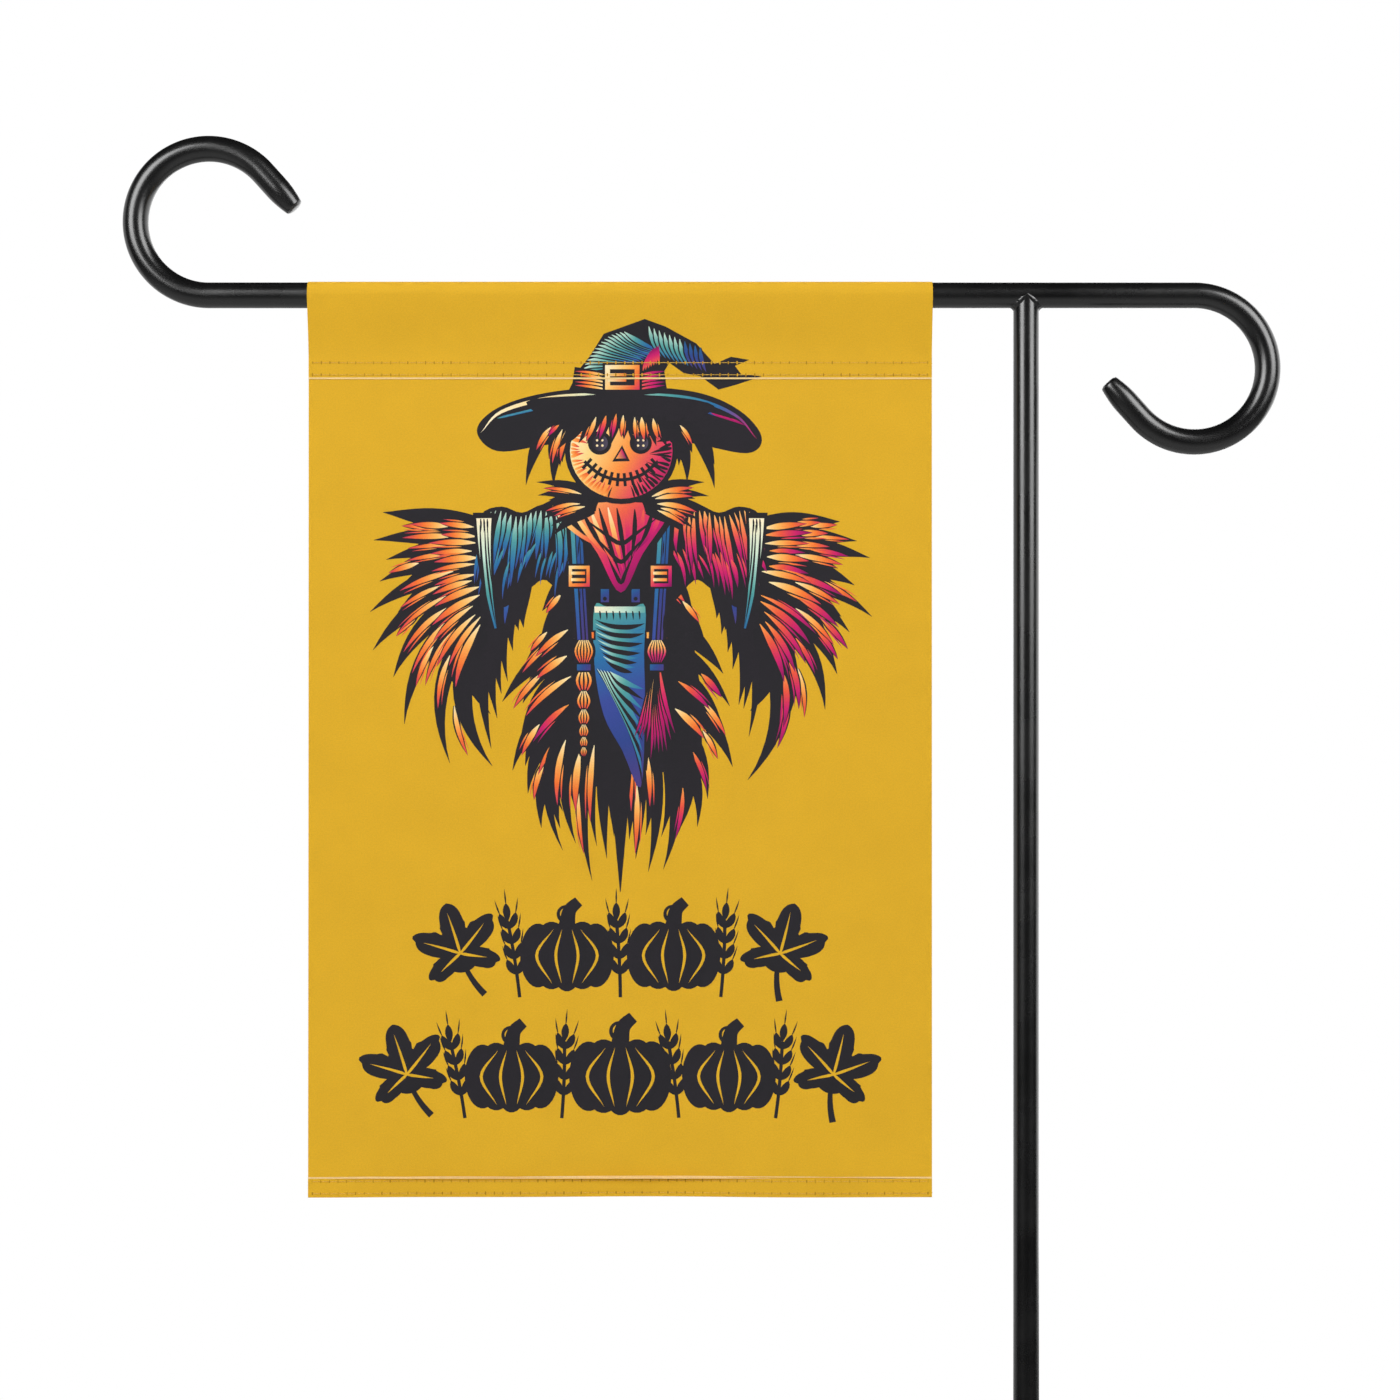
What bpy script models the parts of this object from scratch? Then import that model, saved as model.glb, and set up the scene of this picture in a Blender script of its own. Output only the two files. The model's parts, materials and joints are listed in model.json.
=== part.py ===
"""A garden flag on its steel stand.

A bent tube with a scroll at one end and a hook at the other is welded across a pole. The pole
stands on a connector pin in a ground stake with a step plate and three points. A cloth flag
hangs on the tube by a sewn sleeve. The ground line is z = 0 and the pole stands on the z axis.
The flag faces -Y and hangs on the -X side of the pole.
"""

import math

import bmesh
import bpy
from mathutils import Matrix, Vector

MM = 0.001
GAP = 0.3 * MM  # kept between pieces that touch on the real object

# Stand: one size of round tube throughout.
TUBE_RADIUS = 6.25 * MM
TUBE_WALL = 1.2 * MM
BORE_RADIUS = TUBE_RADIUS - TUBE_WALL
BAR_HEIGHT = 920 * MM  # axis of the cross tube above the ground
BEND_RADIUS = 35.75 * MM  # centreline of the scroll and of the hook
BEND_SWEEP = math.radians(228)
SCROLL_X = -398.8 * MM  # where the straight tube ends and the scroll starts
HOOK_X = 82.2 * MM
TAIL_LENGTH = 22 * MM  # straight end after each bend
TAPER_LENGTH = 18 * MM
TIP_SCALE = 0.76  # the tube's radius at its tip, as a share of TUBE_RADIUS
JOINT_HEIGHT = 300 * MM  # where the two lengths of pole meet

# Ground stake.
POLE_FOOT = -140 * MM  # lower end of the tube
STAKE_TIP = -178 * MM
POINT_STEM = 18 * MM  # length of the point that sits in the tube
PLATE_SIZE = Vector((126, 26, 4)) * MM
PLATE_CORNER = 6 * MM
PRONG_X = 52 * MM
PRONG_RADIUS = 4 * MM
PRONG_TOP = PLATE_SIZE.z + 3 * MM
PRONG_SHOULDER = -112 * MM
PRONG_TIP = -132 * MM
BLUNTING = 0.5 * MM  # radius of the points' ends
WELD_LEG = 2.2 * MM

# Flag.
FLAG_WIDTH = 304 * MM
FLAG_CENTRE_X = -198 * MM
CLOTH = 0.6 * MM
LOOP_RADIUS = TUBE_RADIUS + GAP + CLOTH / 2 + 0.1 * MM  # middle of the cloth round the bar
SEAM_DROP = 42.9 * MM  # fold line below the bar's axis, where the panel starts to hang
SLEEVE_EDGE_DROP = 40.9 * MM  # cut edge of the cloth that is turned over for the sleeve
FLAG_DROP = 439.8 * MM
HEM_HEIGHT = 10 * MM
NEEDLE_ROWS = (2.1 * MM, 8.0 * MM)  # distance of the two rows of stitches from a cut edge
THREAD_RADIUS = 0.25 * MM
FOLD_CLEARANCE = 0.8 * MM  # from the fold line to the cloth above and below it

SIDES = 16
BEND_STEPS = 24
LAYER_STEP = CLOTH + GAP  # from the middle of one layer of cloth to the middle of the next


def clear_scene():
    for obj in list(bpy.data.objects):
        bpy.data.objects.remove(obj, do_unlink=True)


def make_collection(name):
    collection = bpy.data.collections.new(name)
    bpy.context.scene.collection.children.link(collection)
    return collection


def make_material(name, colour, roughness, metallic):
    material = bpy.data.materials.new(name)
    material.use_nodes = True
    shader = material.node_tree.nodes["Principled BSDF"]
    shader.inputs["Base Color"].default_value = (*colour, 1.0)
    shader.inputs["Roughness"].default_value = roughness
    shader.inputs["Metallic"].default_value = metallic
    return material


clear_scene()
PARTS = make_collection("garden_flag_and_stand")
CUTTERS = make_collection("cutters")
BLACK_PAINT = make_material("black_paint", (0.012, 0.012, 0.013), 0.25, 0.0)
WELD_PAINT = make_material("weld_paint", (0.014, 0.014, 0.015), 0.4, 0.0)
PLUG_PLASTIC = make_material("plug_plastic", (0.02, 0.02, 0.021), 0.35, 0.0)
GOLD_CLOTH = make_material("gold_cloth", (0.73, 0.413, 0.026), 0.8, 0.0)
GOLD_THREAD = make_material("gold_thread", (0.55, 0.3, 0.03), 0.6, 0.0)


def make_frame(name, location, parent=None):
    """An empty on a joint's axis, which carries the pieces that move together."""
    frame = bpy.data.objects.new(name, None)
    PARTS.objects.link(frame)
    frame.parent = parent
    frame.location = location
    return frame


def make_part(name, data, material, frame, location=(0, 0, 0)):
    part = bpy.data.objects.new(name, data)
    PARTS.objects.link(part)
    part.data.materials.append(material)
    part.parent = frame
    part.location = location
    return part


def make_cutter(name, data, frame, location=(0, 0, 0)):
    cutter = bpy.data.objects.new(name, data)
    CUTTERS.objects.link(cutter)
    cutter.parent = frame
    cutter.location = location
    cutter.hide_render = True
    cutter.display_type = "WIRE"
    return cutter


def cylinder_mesh(name, radius, length, axis="Z"):
    """A cylinder centred on its origin, along Z or along X."""
    shape = bmesh.new()
    bmesh.ops.create_cone(
        shape, cap_ends=True, segments=2 * SIDES, radius1=radius, radius2=radius, depth=length
    )
    if axis == "X":
        bmesh.ops.transform(shape, matrix=Matrix.Rotation(math.pi / 2, 4, "Y"), verts=shape.verts)
    mesh = bpy.data.meshes.new(name)
    shape.to_mesh(mesh)
    shape.free()
    return mesh


def cut(part, cutter):
    modifier = part.modifiers.new(f"cut_by_{cutter.name}", "BOOLEAN")
    modifier.operation = "DIFFERENCE"
    modifier.object = cutter


def turned(name, profile, material, frame, location=(0, 0, 0), closed=False):
    """A turned piece. The profile is (radius, height) pairs down its outer side."""
    shape = bmesh.new()
    corners = [shape.verts.new((radius, 0, height)) for radius, height in profile]
    for start, end in zip(corners, corners[1:]):
        shape.edges.new((start, end))
    if closed:
        shape.edges.new((corners[-1], corners[0]))
    mesh = bpy.data.meshes.new(name)
    shape.to_mesh(mesh)
    shape.free()
    part = make_part(name, mesh, material, frame, location)
    screw = part.modifiers.new("turn", "SCREW")
    screw.steps = SIDES
    screw.render_steps = SIDES
    screw.use_merge_vertices = True
    screw.merge_threshold = 0.01 * MM
    return part


def pipe(name, bottom, top, material, frame):
    """A straight tube of the stand's size, upright."""
    wall = [(TUBE_RADIUS, top), (TUBE_RADIUS, bottom), (BORE_RADIUS, bottom), (BORE_RADIUS, top)]
    return turned(name, wall, material, frame, closed=True)


def poly_curve(name, points, radius, scales=None, cyclic=False, resolution=2, caps=True):
    curve = bpy.data.curves.new(name, "CURVE")
    curve.dimensions = "3D"
    curve.bevel_depth = radius
    curve.bevel_resolution = resolution
    curve.use_fill_caps = caps
    spline = curve.splines.new("POLY")
    spline.points.add(len(points) - 1)
    for index, point in enumerate(points):
        spline.points[index].co = (*point, 1)
        spline.points[index].radius = scales[index] if scales else 1
    spline.use_cyclic_u = cyclic
    return curve


def bend_points(centre, start_angle, sweep, steps):
    """Points along a bend in the XZ plane. Angles run from +X towards +Z."""
    points = []
    for step in range(steps + 1):
        angle = start_angle + sweep * step / steps
        points.append(centre + Vector((math.cos(angle), 0, math.sin(angle))) * BEND_RADIUS)
    return points


def half_bar():
    """The scroll half of the cross tube, from the bend's start to the tip, with its radii."""
    centre = Vector((0, 0, BEND_RADIUS))
    points = bend_points(centre, -math.pi / 2, -BEND_SWEEP, BEND_STEPS)
    heading = Vector((-math.cos(BEND_SWEEP), 0, math.sin(BEND_SWEEP)))
    end_of_bend = points[-1]
    scales = [1.0] * len(points)
    taper_start = TAIL_LENGTH - TAPER_LENGTH
    for share in (0, 0.5, 1):
        points.append(end_of_bend + heading * (taper_start + TAPER_LENGTH * share))
        scales.append(1 - (1 - TIP_SCALE) * share)
    return points, scales, heading


def turned_over(point):
    """The hook is the scroll turned half a turn about Y."""
    return Vector((-point.x, point.y, -point.z))


def hanger_bar(frame):
    points, scales, _ = half_bar()
    scroll = [point + Vector((SCROLL_X, 0, 0)) for point in points]
    hook = [turned_over(point) + Vector((HOOK_X, 0, 0)) for point in points]
    line = scroll[::-1] + hook
    radii = scales[::-1] + scales
    curve = poly_curve("hanger_bar", line, TUBE_RADIUS, radii, resolution=6, caps=False)
    bar = make_part("hanger_bar", curve, BLACK_PAINT, frame)
    wall = bar.modifiers.new("wall", "SOLIDIFY")
    wall.thickness = TUBE_WALL
    wall.offset = -1
    return bar


def end_plugs(frame):
    """A plastic plug closes each tip of the cross tube. Its head covers the tube's end."""
    head_radius = TUBE_RADIUS * TIP_SCALE
    stem_radius = head_radius - TUBE_WALL - GAP
    head_height = 1.6 * MM
    rounding = 0.5 * MM
    stem_length = 9 * MM
    profile = [
        (0, GAP + head_height),
        (head_radius - rounding, GAP + head_height),
        (head_radius, GAP + head_height - rounding),
        (head_radius, GAP),
        (stem_radius, GAP),
        (stem_radius, -stem_length),
        (0, -stem_length),
    ]
    points, _, heading = half_bar()
    tip = points[-1]
    spots = (
        ("scroll_end_plug", tip + Vector((SCROLL_X, 0, 0)), heading),
        ("hook_end_plug", turned_over(tip) + Vector((HOOK_X, 0, 0)), turned_over(heading)),
    )
    for name, place, facing in spots:
        plug = turned(name, profile, PLUG_PLASTIC, frame, place)
        plug.rotation_euler = facing.to_track_quat("Z", "Y").to_euler()


def saddle_points(radius, steps):
    """Where a pole of this radius meets a cross tube of the same radius, with its peaks eased."""
    easing = 2 * MM
    points = []
    for step in range(steps):
        angle = 2 * math.pi * step / steps
        across, along = math.cos(angle) * radius, math.sin(angle) * radius
        points.append(Vector((across, along, -math.hypot(across, easing))))
    return points


def saddle_weld(frame, cutters):
    bead_radius = 1.5 * MM
    path = saddle_points(TUBE_RADIUS + 0.5 * MM, 2 * BEND_STEPS)
    curve = poly_curve("bead_guide", path, bead_radius, cyclic=True)
    guide = make_cutter("bead_guide", curve, frame)
    bpy.context.view_layer.update()
    evaluated = guide.evaluated_get(bpy.context.evaluated_depsgraph_get())
    mesh = bpy.data.meshes.new_from_object(evaluated)
    shape = bmesh.new()
    shape.from_mesh(mesh)
    bmesh.ops.remove_doubles(shape, verts=shape.verts, dist=0.001 * MM)
    shape.to_mesh(mesh)
    shape.free()
    bpy.data.objects.remove(guide)
    weld = make_part("hanger_weld", mesh, WELD_PAINT, frame)
    for cutter in cutters:
        cut(weld, cutter)


def ring_weld(name, inner_radius, height, frame, x=0.0):
    """A fillet of weld round an upright rod, on the step plate."""
    throat = 0.7 * WELD_LEG
    rim = 0.5 * MM
    profile = [
        (inner_radius + rim, height + WELD_LEG),
        (inner_radius + throat, height + throat),
        (inner_radius + WELD_LEG, height),
        (inner_radius, height),
        (inner_radius, height + WELD_LEG),
    ]
    turned(name, profile, WELD_PAINT, frame, (x, 0, 0), closed=True)


def step_plate(frame):
    shape = bmesh.new()
    bmesh.ops.create_cube(shape, size=1.0)
    bmesh.ops.scale(shape, vec=PLATE_SIZE, verts=shape.verts)
    upright = [e for e in shape.edges if abs(e.verts[0].co.z - e.verts[1].co.z) > PLATE_SIZE.z / 2]
    bmesh.ops.bevel(
        shape, geom=upright, offset=PLATE_CORNER, segments=4, profile=0.5, affect="EDGES"
    )
    mesh = bpy.data.meshes.new("step_plate")
    shape.to_mesh(mesh)
    shape.free()
    plate = make_part("step_plate", mesh, BLACK_PAINT, frame, (0, 0, PLATE_SIZE.z / 2))
    depth = 5 * PLATE_SIZE.z
    holes = (
        ("pole_hole", 0, TUBE_RADIUS),
        ("left_prong_hole", -PRONG_X, PRONG_RADIUS),
        ("right_prong_hole", PRONG_X, PRONG_RADIUS),
    )
    for name, x, radius in holes:
        drill = make_cutter(name, cylinder_mesh(name, radius + GAP, depth), frame, (x, 0, 0))
        cut(plate, drill)


def ground_stake(frame):
    pipe("lower_pole", POLE_FOOT, JOINT_HEIGHT, BLACK_PAINT, frame)
    stem_radius = BORE_RADIUS - GAP
    stem_top = POLE_FOOT + POINT_STEM
    stem_chamfer = 1 * MM
    shoulder = 2 * MM
    point = [
        (0, stem_top),
        (stem_radius - stem_chamfer, stem_top),
        (stem_radius, stem_top - stem_chamfer),
        (stem_radius, POLE_FOOT - GAP),
        (TUBE_RADIUS, POLE_FOOT - GAP),
        (TUBE_RADIUS, POLE_FOOT - shoulder),
        (BLUNTING, STAKE_TIP + BLUNTING),
        (0, STAKE_TIP),
    ]
    turned("stake_point", point, BLACK_PAINT, frame)
    step_plate(frame)
    chamfer = 0.8 * MM
    prong = [
        (0, PRONG_TOP),
        (PRONG_RADIUS - chamfer, PRONG_TOP),
        (PRONG_RADIUS, PRONG_TOP - chamfer),
        (PRONG_RADIUS, PRONG_SHOULDER),
        (BLUNTING, PRONG_TIP + BLUNTING),
        (0, PRONG_TIP),
    ]
    plate_top = PLATE_SIZE.z + GAP
    ring_weld("pole_plate_weld", TUBE_RADIUS + GAP, plate_top, frame)
    for side, sign in (("left", -1), ("right", 1)):
        turned(f"{side}_prong", prong, BLACK_PAINT, frame, (sign * PRONG_X, 0, 0))
        ring_weld(f"{side}_prong_weld", PRONG_RADIUS + GAP, plate_top, frame, sign * PRONG_X)


def pole_connector(frame):
    """A loose pin with a collar, which joins the two lengths of pole. Its origin is the joint."""
    pin_radius = BORE_RADIUS - GAP
    reach = 45 * MM
    chamfer = 1.2 * MM
    collar_bottom, collar_top = GAP, GAP + 3 * MM
    profile = [
        (0, reach),
        (pin_radius - chamfer, reach),
        (pin_radius, reach - chamfer),
        (pin_radius, collar_top),
        (TUBE_RADIUS, collar_top),
        (TUBE_RADIUS, collar_bottom),
        (pin_radius, collar_bottom),
        (pin_radius, chamfer - reach),
        (pin_radius - chamfer, -reach),
        (0, -reach),
    ]
    turned("pole_connector", profile, BLACK_PAINT, frame)
    return collar_top


def stand_top(frame, pole_start):
    """The cross tube on its length of pole. The frame's origin is the cross tube's axis."""
    pole = pipe("upper_pole", pole_start, 0, BLACK_PAINT, frame)
    reach = 8 * TUBE_RADIUS
    bar_cutter = make_cutter(
        "bar_cutter", cylinder_mesh("bar_cutter", TUBE_RADIUS + GAP, reach, "X"), frame
    )
    pole_cutter = make_cutter(
        "pole_cutter",
        cylinder_mesh("pole_cutter", TUBE_RADIUS + GAP, reach),
        frame,
        (0, 0, -reach / 2),
    )
    cut(pole, bar_cutter)
    hanger_bar(frame)
    saddle_weld(frame, (bar_cutter, pole_cutter))
    end_plugs(frame)


def cloth_strip(name, path, frame, closed=False):
    """Cloth as wide as the flag, along a path of (y, z) points."""
    shape = bmesh.new()
    rows = [
        [shape.verts.new((side * FLAG_WIDTH / 2, y, z)) for side in (-1, 1)] for y, z in path
    ]
    if closed:
        rows.append(rows[0])
    for (left, right), (next_left, next_right) in zip(rows, rows[1:]):
        shape.faces.new((left, right, next_right, next_left))
    mesh = bpy.data.meshes.new(name)
    shape.to_mesh(mesh)
    shape.free()
    strip = make_part(name, mesh, GOLD_CLOTH, frame)
    thickness = strip.modifiers.new("thickness", "SOLIDIFY")
    thickness.thickness = CLOTH
    thickness.offset = 0
    thickness.use_even_offset = True
    return strip


def thread(name, y, z, frame):
    """A sewing thread right across the flag."""
    half = FLAG_WIDTH / 2 - 1 * MM
    curve = poly_curve(name, [(-half, y, z), (half, y, z)], THREAD_RADIUS)
    make_part(name, curve, GOLD_THREAD, frame)


def flag_sleeve(frame):
    """The cloth round the bar. The frame's origin is the bar's axis."""
    ring = []
    for step in range(2 * SIDES):
        angle = 2 * math.pi * step / (2 * SIDES)
        ring.append((math.sin(angle) * LOOP_RADIUS, math.cos(angle) * LOOP_RADIUS))
    cloth_strip("flag_sleeve_loop", ring, frame, closed=True)


def flag_header(frame):
    """The two layers between the bar and the fold line, sewn together above the cut edge."""
    clear = LOOP_RADIUS + CLOTH / 2 + GAP + CLOTH / 2
    start_angle = math.radians(20)  # below the bar's axis, on each side
    start_y, start_z = clear * math.cos(start_angle), -clear * math.sin(start_angle)
    sewn_top = -(SLEEVE_EDGE_DROP - NEEDLE_ROWS[1] - 2 * MM)
    fold = -(SEAM_DROP - FOLD_CLEARANCE)
    back = [(start_y, start_z), (0, sewn_top), (0, fold)]
    front = [(-start_y, start_z), (-LAYER_STEP, sewn_top), (-LAYER_STEP, -SLEEVE_EDGE_DROP)]
    cloth_strip("flag_header_back", back, frame)
    cloth_strip("flag_header_front", front, frame)
    face = CLOTH / 2 + GAP + THREAD_RADIUS
    for name, row in zip(("lower", "upper"), NEEDLE_ROWS):
        thread(
            f"sleeve_needle_thread_{name}", -LAYER_STEP - face, row - SLEEVE_EDGE_DROP, frame
        )
    thread("sleeve_looper_thread", face, sum(NEEDLE_ROWS) / 2 - SLEEVE_EDGE_DROP, frame)


def flag_panel(frame):
    """The hanging panel and its hem. The frame's origin is the fold line."""
    bottom = SEAM_DROP - FLAG_DROP
    cloth_strip("flag_panel", [(0, -FOLD_CLEARANCE), (0, bottom)], frame)
    cloth_strip("flag_bottom_hem", [(-LAYER_STEP, bottom + HEM_HEIGHT), (-LAYER_STEP, bottom)], frame)
    face = CLOTH / 2 + GAP + THREAD_RADIUS
    hem_edge = bottom + HEM_HEIGHT
    for name, row in zip(("upper", "lower"), NEEDLE_ROWS):
        thread(f"hem_needle_thread_{name}", -LAYER_STEP - face, hem_edge - row, frame)
    thread("hem_looper_thread", face, hem_edge - sum(NEEDLE_ROWS) / 2, frame)


def main():
    stake_frame = make_frame("stake_frame", (0, 0, 0))
    ground_stake(stake_frame)
    connector_frame = make_frame("connector_frame", (0, 0, JOINT_HEIGHT), stake_frame)
    collar_top = pole_connector(connector_frame)
    rise = BAR_HEIGHT - JOINT_HEIGHT
    top_frame = make_frame("top_frame", (0, 0, rise), connector_frame)
    stand_top(top_frame, collar_top + GAP - rise)
    sleeve_frame = make_frame("sleeve_frame", (FLAG_CENTRE_X, 0, 0), top_frame)
    flag_sleeve(sleeve_frame)
    header_frame = make_frame("header_frame", (0, 0, 0), sleeve_frame)
    flag_header(header_frame)
    panel_frame = make_frame("panel_frame", (0, 0, -SEAM_DROP), header_frame)
    flag_panel(panel_frame)


main()
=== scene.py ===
"""The looks of a garden flag on its steel stand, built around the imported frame.

The flag is one strip of cloth. It starts at the cut edge of the sleeve's front layer, runs up
over the cross tube and down the back as the hanging panel, and ends in the hem, which is turned
up to the front. Its print is drawn as flat shapes, which become the faces of the cloth.
"""

import json
import math
import random

import bmesh
import bpy
import numpy as np
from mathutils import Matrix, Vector
from mathutils.geometry import delaunay_2d_cdt


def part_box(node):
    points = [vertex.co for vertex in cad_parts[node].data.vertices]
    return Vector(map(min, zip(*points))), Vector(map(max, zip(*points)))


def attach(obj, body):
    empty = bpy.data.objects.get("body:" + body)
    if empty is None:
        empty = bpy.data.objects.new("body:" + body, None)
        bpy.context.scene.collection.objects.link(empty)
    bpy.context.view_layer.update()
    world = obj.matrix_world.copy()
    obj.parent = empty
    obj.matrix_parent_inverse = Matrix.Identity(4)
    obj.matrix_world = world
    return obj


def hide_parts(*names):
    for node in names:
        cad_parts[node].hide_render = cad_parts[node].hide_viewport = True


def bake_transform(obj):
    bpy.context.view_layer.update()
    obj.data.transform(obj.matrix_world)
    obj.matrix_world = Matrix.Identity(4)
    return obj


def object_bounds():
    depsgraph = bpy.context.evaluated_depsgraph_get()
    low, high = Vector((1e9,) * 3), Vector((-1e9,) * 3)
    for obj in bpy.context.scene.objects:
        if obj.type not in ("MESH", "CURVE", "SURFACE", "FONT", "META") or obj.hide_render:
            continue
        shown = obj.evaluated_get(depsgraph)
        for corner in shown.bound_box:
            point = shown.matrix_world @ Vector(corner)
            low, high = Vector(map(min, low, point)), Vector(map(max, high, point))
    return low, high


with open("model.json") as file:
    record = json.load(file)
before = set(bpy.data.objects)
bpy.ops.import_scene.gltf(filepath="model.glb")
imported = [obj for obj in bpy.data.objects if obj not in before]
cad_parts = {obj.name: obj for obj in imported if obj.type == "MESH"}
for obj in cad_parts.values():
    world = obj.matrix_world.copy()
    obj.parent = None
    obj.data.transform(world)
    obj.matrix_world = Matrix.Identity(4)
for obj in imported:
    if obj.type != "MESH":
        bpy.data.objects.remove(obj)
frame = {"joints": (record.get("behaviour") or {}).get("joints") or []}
cad_low, cad_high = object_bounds()

MM = 0.001
JOINTS = {joint["name"]: joint for joint in frame["joints"]}
BAR = Vector(JOINTS["flag_swing"]["pos_m"])  # on the cross tube's axis, at the flag's middle
FOLD = Vector(JOINTS["flag_fold"]["pos_m"])
JOINT = Vector(JOINTS["pole_swivel"]["pos_m"])
BAR_LOW, BAR_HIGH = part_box("hanger_bar")
POLE_LOW, POLE_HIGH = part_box("upper_pole")
PANEL_LOW, PANEL_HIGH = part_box("flag_panel")
TUBE = (POLE_HIGH.x - POLE_LOW.x) / 2  # radius of every tube
BEND = (BAR_HIGH.z - BAR.z - TUBE) / 2  # centreline radius of the scroll and the hook


# Print. Places are in millimetres: x from the flag's middle, z from the cross tube's axis.
INK = [(0.155, 0.15, 0.165), (0.165, 0.155, 0.175)]
GOLD = [(0.872, 0.677, 0.158)] * 2
# Painted shade: three darker golds that stand for the shade inside the needle holes.
NEEDLE_HOLE_SHADE = [(0.69, 0.51, 0.11), (0.76, 0.575, 0.13), (0.82, 0.63, 0.145)]
CUT_EDGE = [(0.94, 0.81, 0.56)] * 2
CREAM = [(1.0, 0.94, 0.8), (1.0, 0.86, 0.6)]
STRAW_LIGHT = [(1.0, 0.93, 0.74), (1.0, 0.72, 0.36), (0.96, 0.46, 0.2), (0.84, 0.2, 0.36)]
STRAW_DEEP = [(1.0, 0.66, 0.3), (0.93, 0.35, 0.25), (0.8, 0.13, 0.42), (0.5, 0.09, 0.36)]
DENIM_LIGHT = [(0.82, 0.92, 0.84), (0.33, 0.63, 0.62), (0.18, 0.44, 0.65), (0.24, 0.3, 0.6)]
DENIM_DEEP = [(0.3, 0.6, 0.6), (0.17, 0.4, 0.6), (0.2, 0.28, 0.55), (0.3, 0.25, 0.5)]
ROSE = [(1.0, 0.76, 0.42), (0.95, 0.42, 0.28), (0.82, 0.13, 0.43), (0.5, 0.08, 0.36)]


def rand(low, high):
    return random.uniform(low, high)


def heading(degrees):
    angle = math.radians(degrees)
    return np.array([math.cos(angle), math.sin(angle)])


def round_turn(count):
    """Evenly spaced angles of one full turn, in radians."""
    return np.linspace(0, 2 * math.pi, count, endpoint=False)


def unit(angles):
    return np.stack([np.cos(angles), np.sin(angles)], axis=1)


def spine(root, angle, length, curl, steps=9):
    """Points along a stroke that turns evenly by curl degrees."""
    points = [np.array(root, float)]
    for step in range(steps):
        turn = angle + curl * (step + 0.5) / steps
        points.append(points[-1] + heading(turn) * length / steps)
    return np.array(points)


def spline(a, b, c, d, steps):
    """Points of a smooth curve from b on towards c, whose neighbours are a and d."""
    for step in range(steps):
        t = step / steps
        square = 0.5 * (2 * b + (c - a) * t + (2 * a - 5 * b + 4 * c - d) * t**2)
        yield square + 0.5 * (3 * b - a - 3 * c + d) * t**3


def along(points, count=11):
    """A smooth line through a few points, evenly sampled in its parameter."""
    points = np.array(points, float)
    ends = np.vstack([2 * points[0] - points[1], points, 2 * points[-1] - points[-2]])
    spans = len(points) - 1
    result = [spot for k in range(spans) for spot in spline(*ends[k : k + 4], max(2, count // spans))]
    return np.array([*result, points[-1]])


def closed(points, steps=4):
    """A smooth closed outline through a few points."""
    near = [np.roll(np.array(points, float), shift, axis=0) for shift in (1, 0, -1, -2)]
    return np.array([spot for four in zip(*near) for spot in spline(*four, steps)])


def shares(count):
    """Evenly spaced shares from 0 to 1."""
    return [index / (count - 1) for index in range(count)]


def sides_of(line):
    """The unit vectors to the left of a line, at each of its points."""
    tangent = np.gradient(line, axis=0)
    tangent /= np.linalg.norm(tangent, axis=1)[:, None]
    return np.stack([-tangent[:, 1], tangent[:, 0]], axis=1)


def ribbon(line, half_widths):
    """The outline of a band along a line. Where the half width is 0 it comes to a point."""
    across = sides_of(line) * np.array(half_widths)[:, None]
    left, right = line + across, (line - across)[::-1]
    return np.vstack([left, right])


def leaf_shape(count, belly=0.3, base=0.0, taper=0.9):
    """Half widths of a stroke that swells to its belly and runs out to a point."""
    t = np.linspace(0, 1, count)
    rising = base + (1 - base) * np.sin(np.minimum(t / belly, 1) * math.pi / 2)
    falling = np.cos(np.clip((t - belly) / (1 - belly), 0, 1) * math.pi / 2) ** taper
    return np.maximum(rising * falling, 0.02)


def mark(outline, ramp, start=None, end=None):
    """A printed shape, coloured along the line from start to end."""
    outline = np.array(outline, float)
    start = outline[0] if start is None else np.array(start, float)
    end = outline[len(outline) // 2] if end is None else np.array(end, float)
    return {"outline": outline, "ramp": ramp, "start": start, "end": end}


def disc(centre, radius, ramp, squash=1.0, count=24, start=None, end=None):
    ring = unit(round_turn(count)) * (1, squash) * radius + centre
    return mark(ring, ramp, start, end)


def stroke(line, width, ramp, belly=0.3, base=0.0, taper=0.9):
    shape = leaf_shape(len(line), belly, base, taper) * width / 2
    return mark(ribbon(line, shape), ramp, line[0], line[-1])


def strap(line, first, last):
    """A dark band whose half width runs evenly from first to last."""
    return mark(ribbon(line, np.linspace(first, last, len(line))), INK)


def box_mark(centre, half_width, half_height, ramp):
    """A printed rectangle, coloured from its top left to its bottom right."""
    x, z = centre
    corners = [(x + a * half_width, z + b * half_height) for a, b in ((-1, 1), (1, 1), (1, -1), (-1, -1))]
    return mark(corners, ramp, corners[0], corners[2])


def part_of(line, first, last, shift=0.0):
    """The stretch of a line between two shares of its length, moved sideways."""
    places = np.linspace(first, last, len(line)) * (len(line) - 1)
    index = np.arange(len(line))
    stretch = np.stack([np.interp(places, index, line[:, k]) for k in (0, 1)], axis=1)
    return stretch + sides_of(stretch) * shift


def straw_ramp(x, drop):
    """Straw is lit from the top left, so it deepens to the right and towards the ground."""
    shade = 0.27 + x / 330 + 0.34 * drop + rand(-0.3, 0.3)
    return STRAW_DEEP if shade > 0.6 else STRAW_LIGHT


def bowed(root, tip, bulge, steps=9):
    """A curved line from root to tip, which swells to its left by a share of its length."""
    root, tip = np.array(root, float), np.array(tip, float)
    reach = tip - root
    middle = (root + tip) / 2 + np.array([-reach[1], reach[0]]) * bulge
    t = np.linspace(0, 1, steps + 1)[:, None]
    return (1 - t) ** 2 * root + 2 * t * (1 - t) * middle + t**2 * tip


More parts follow.
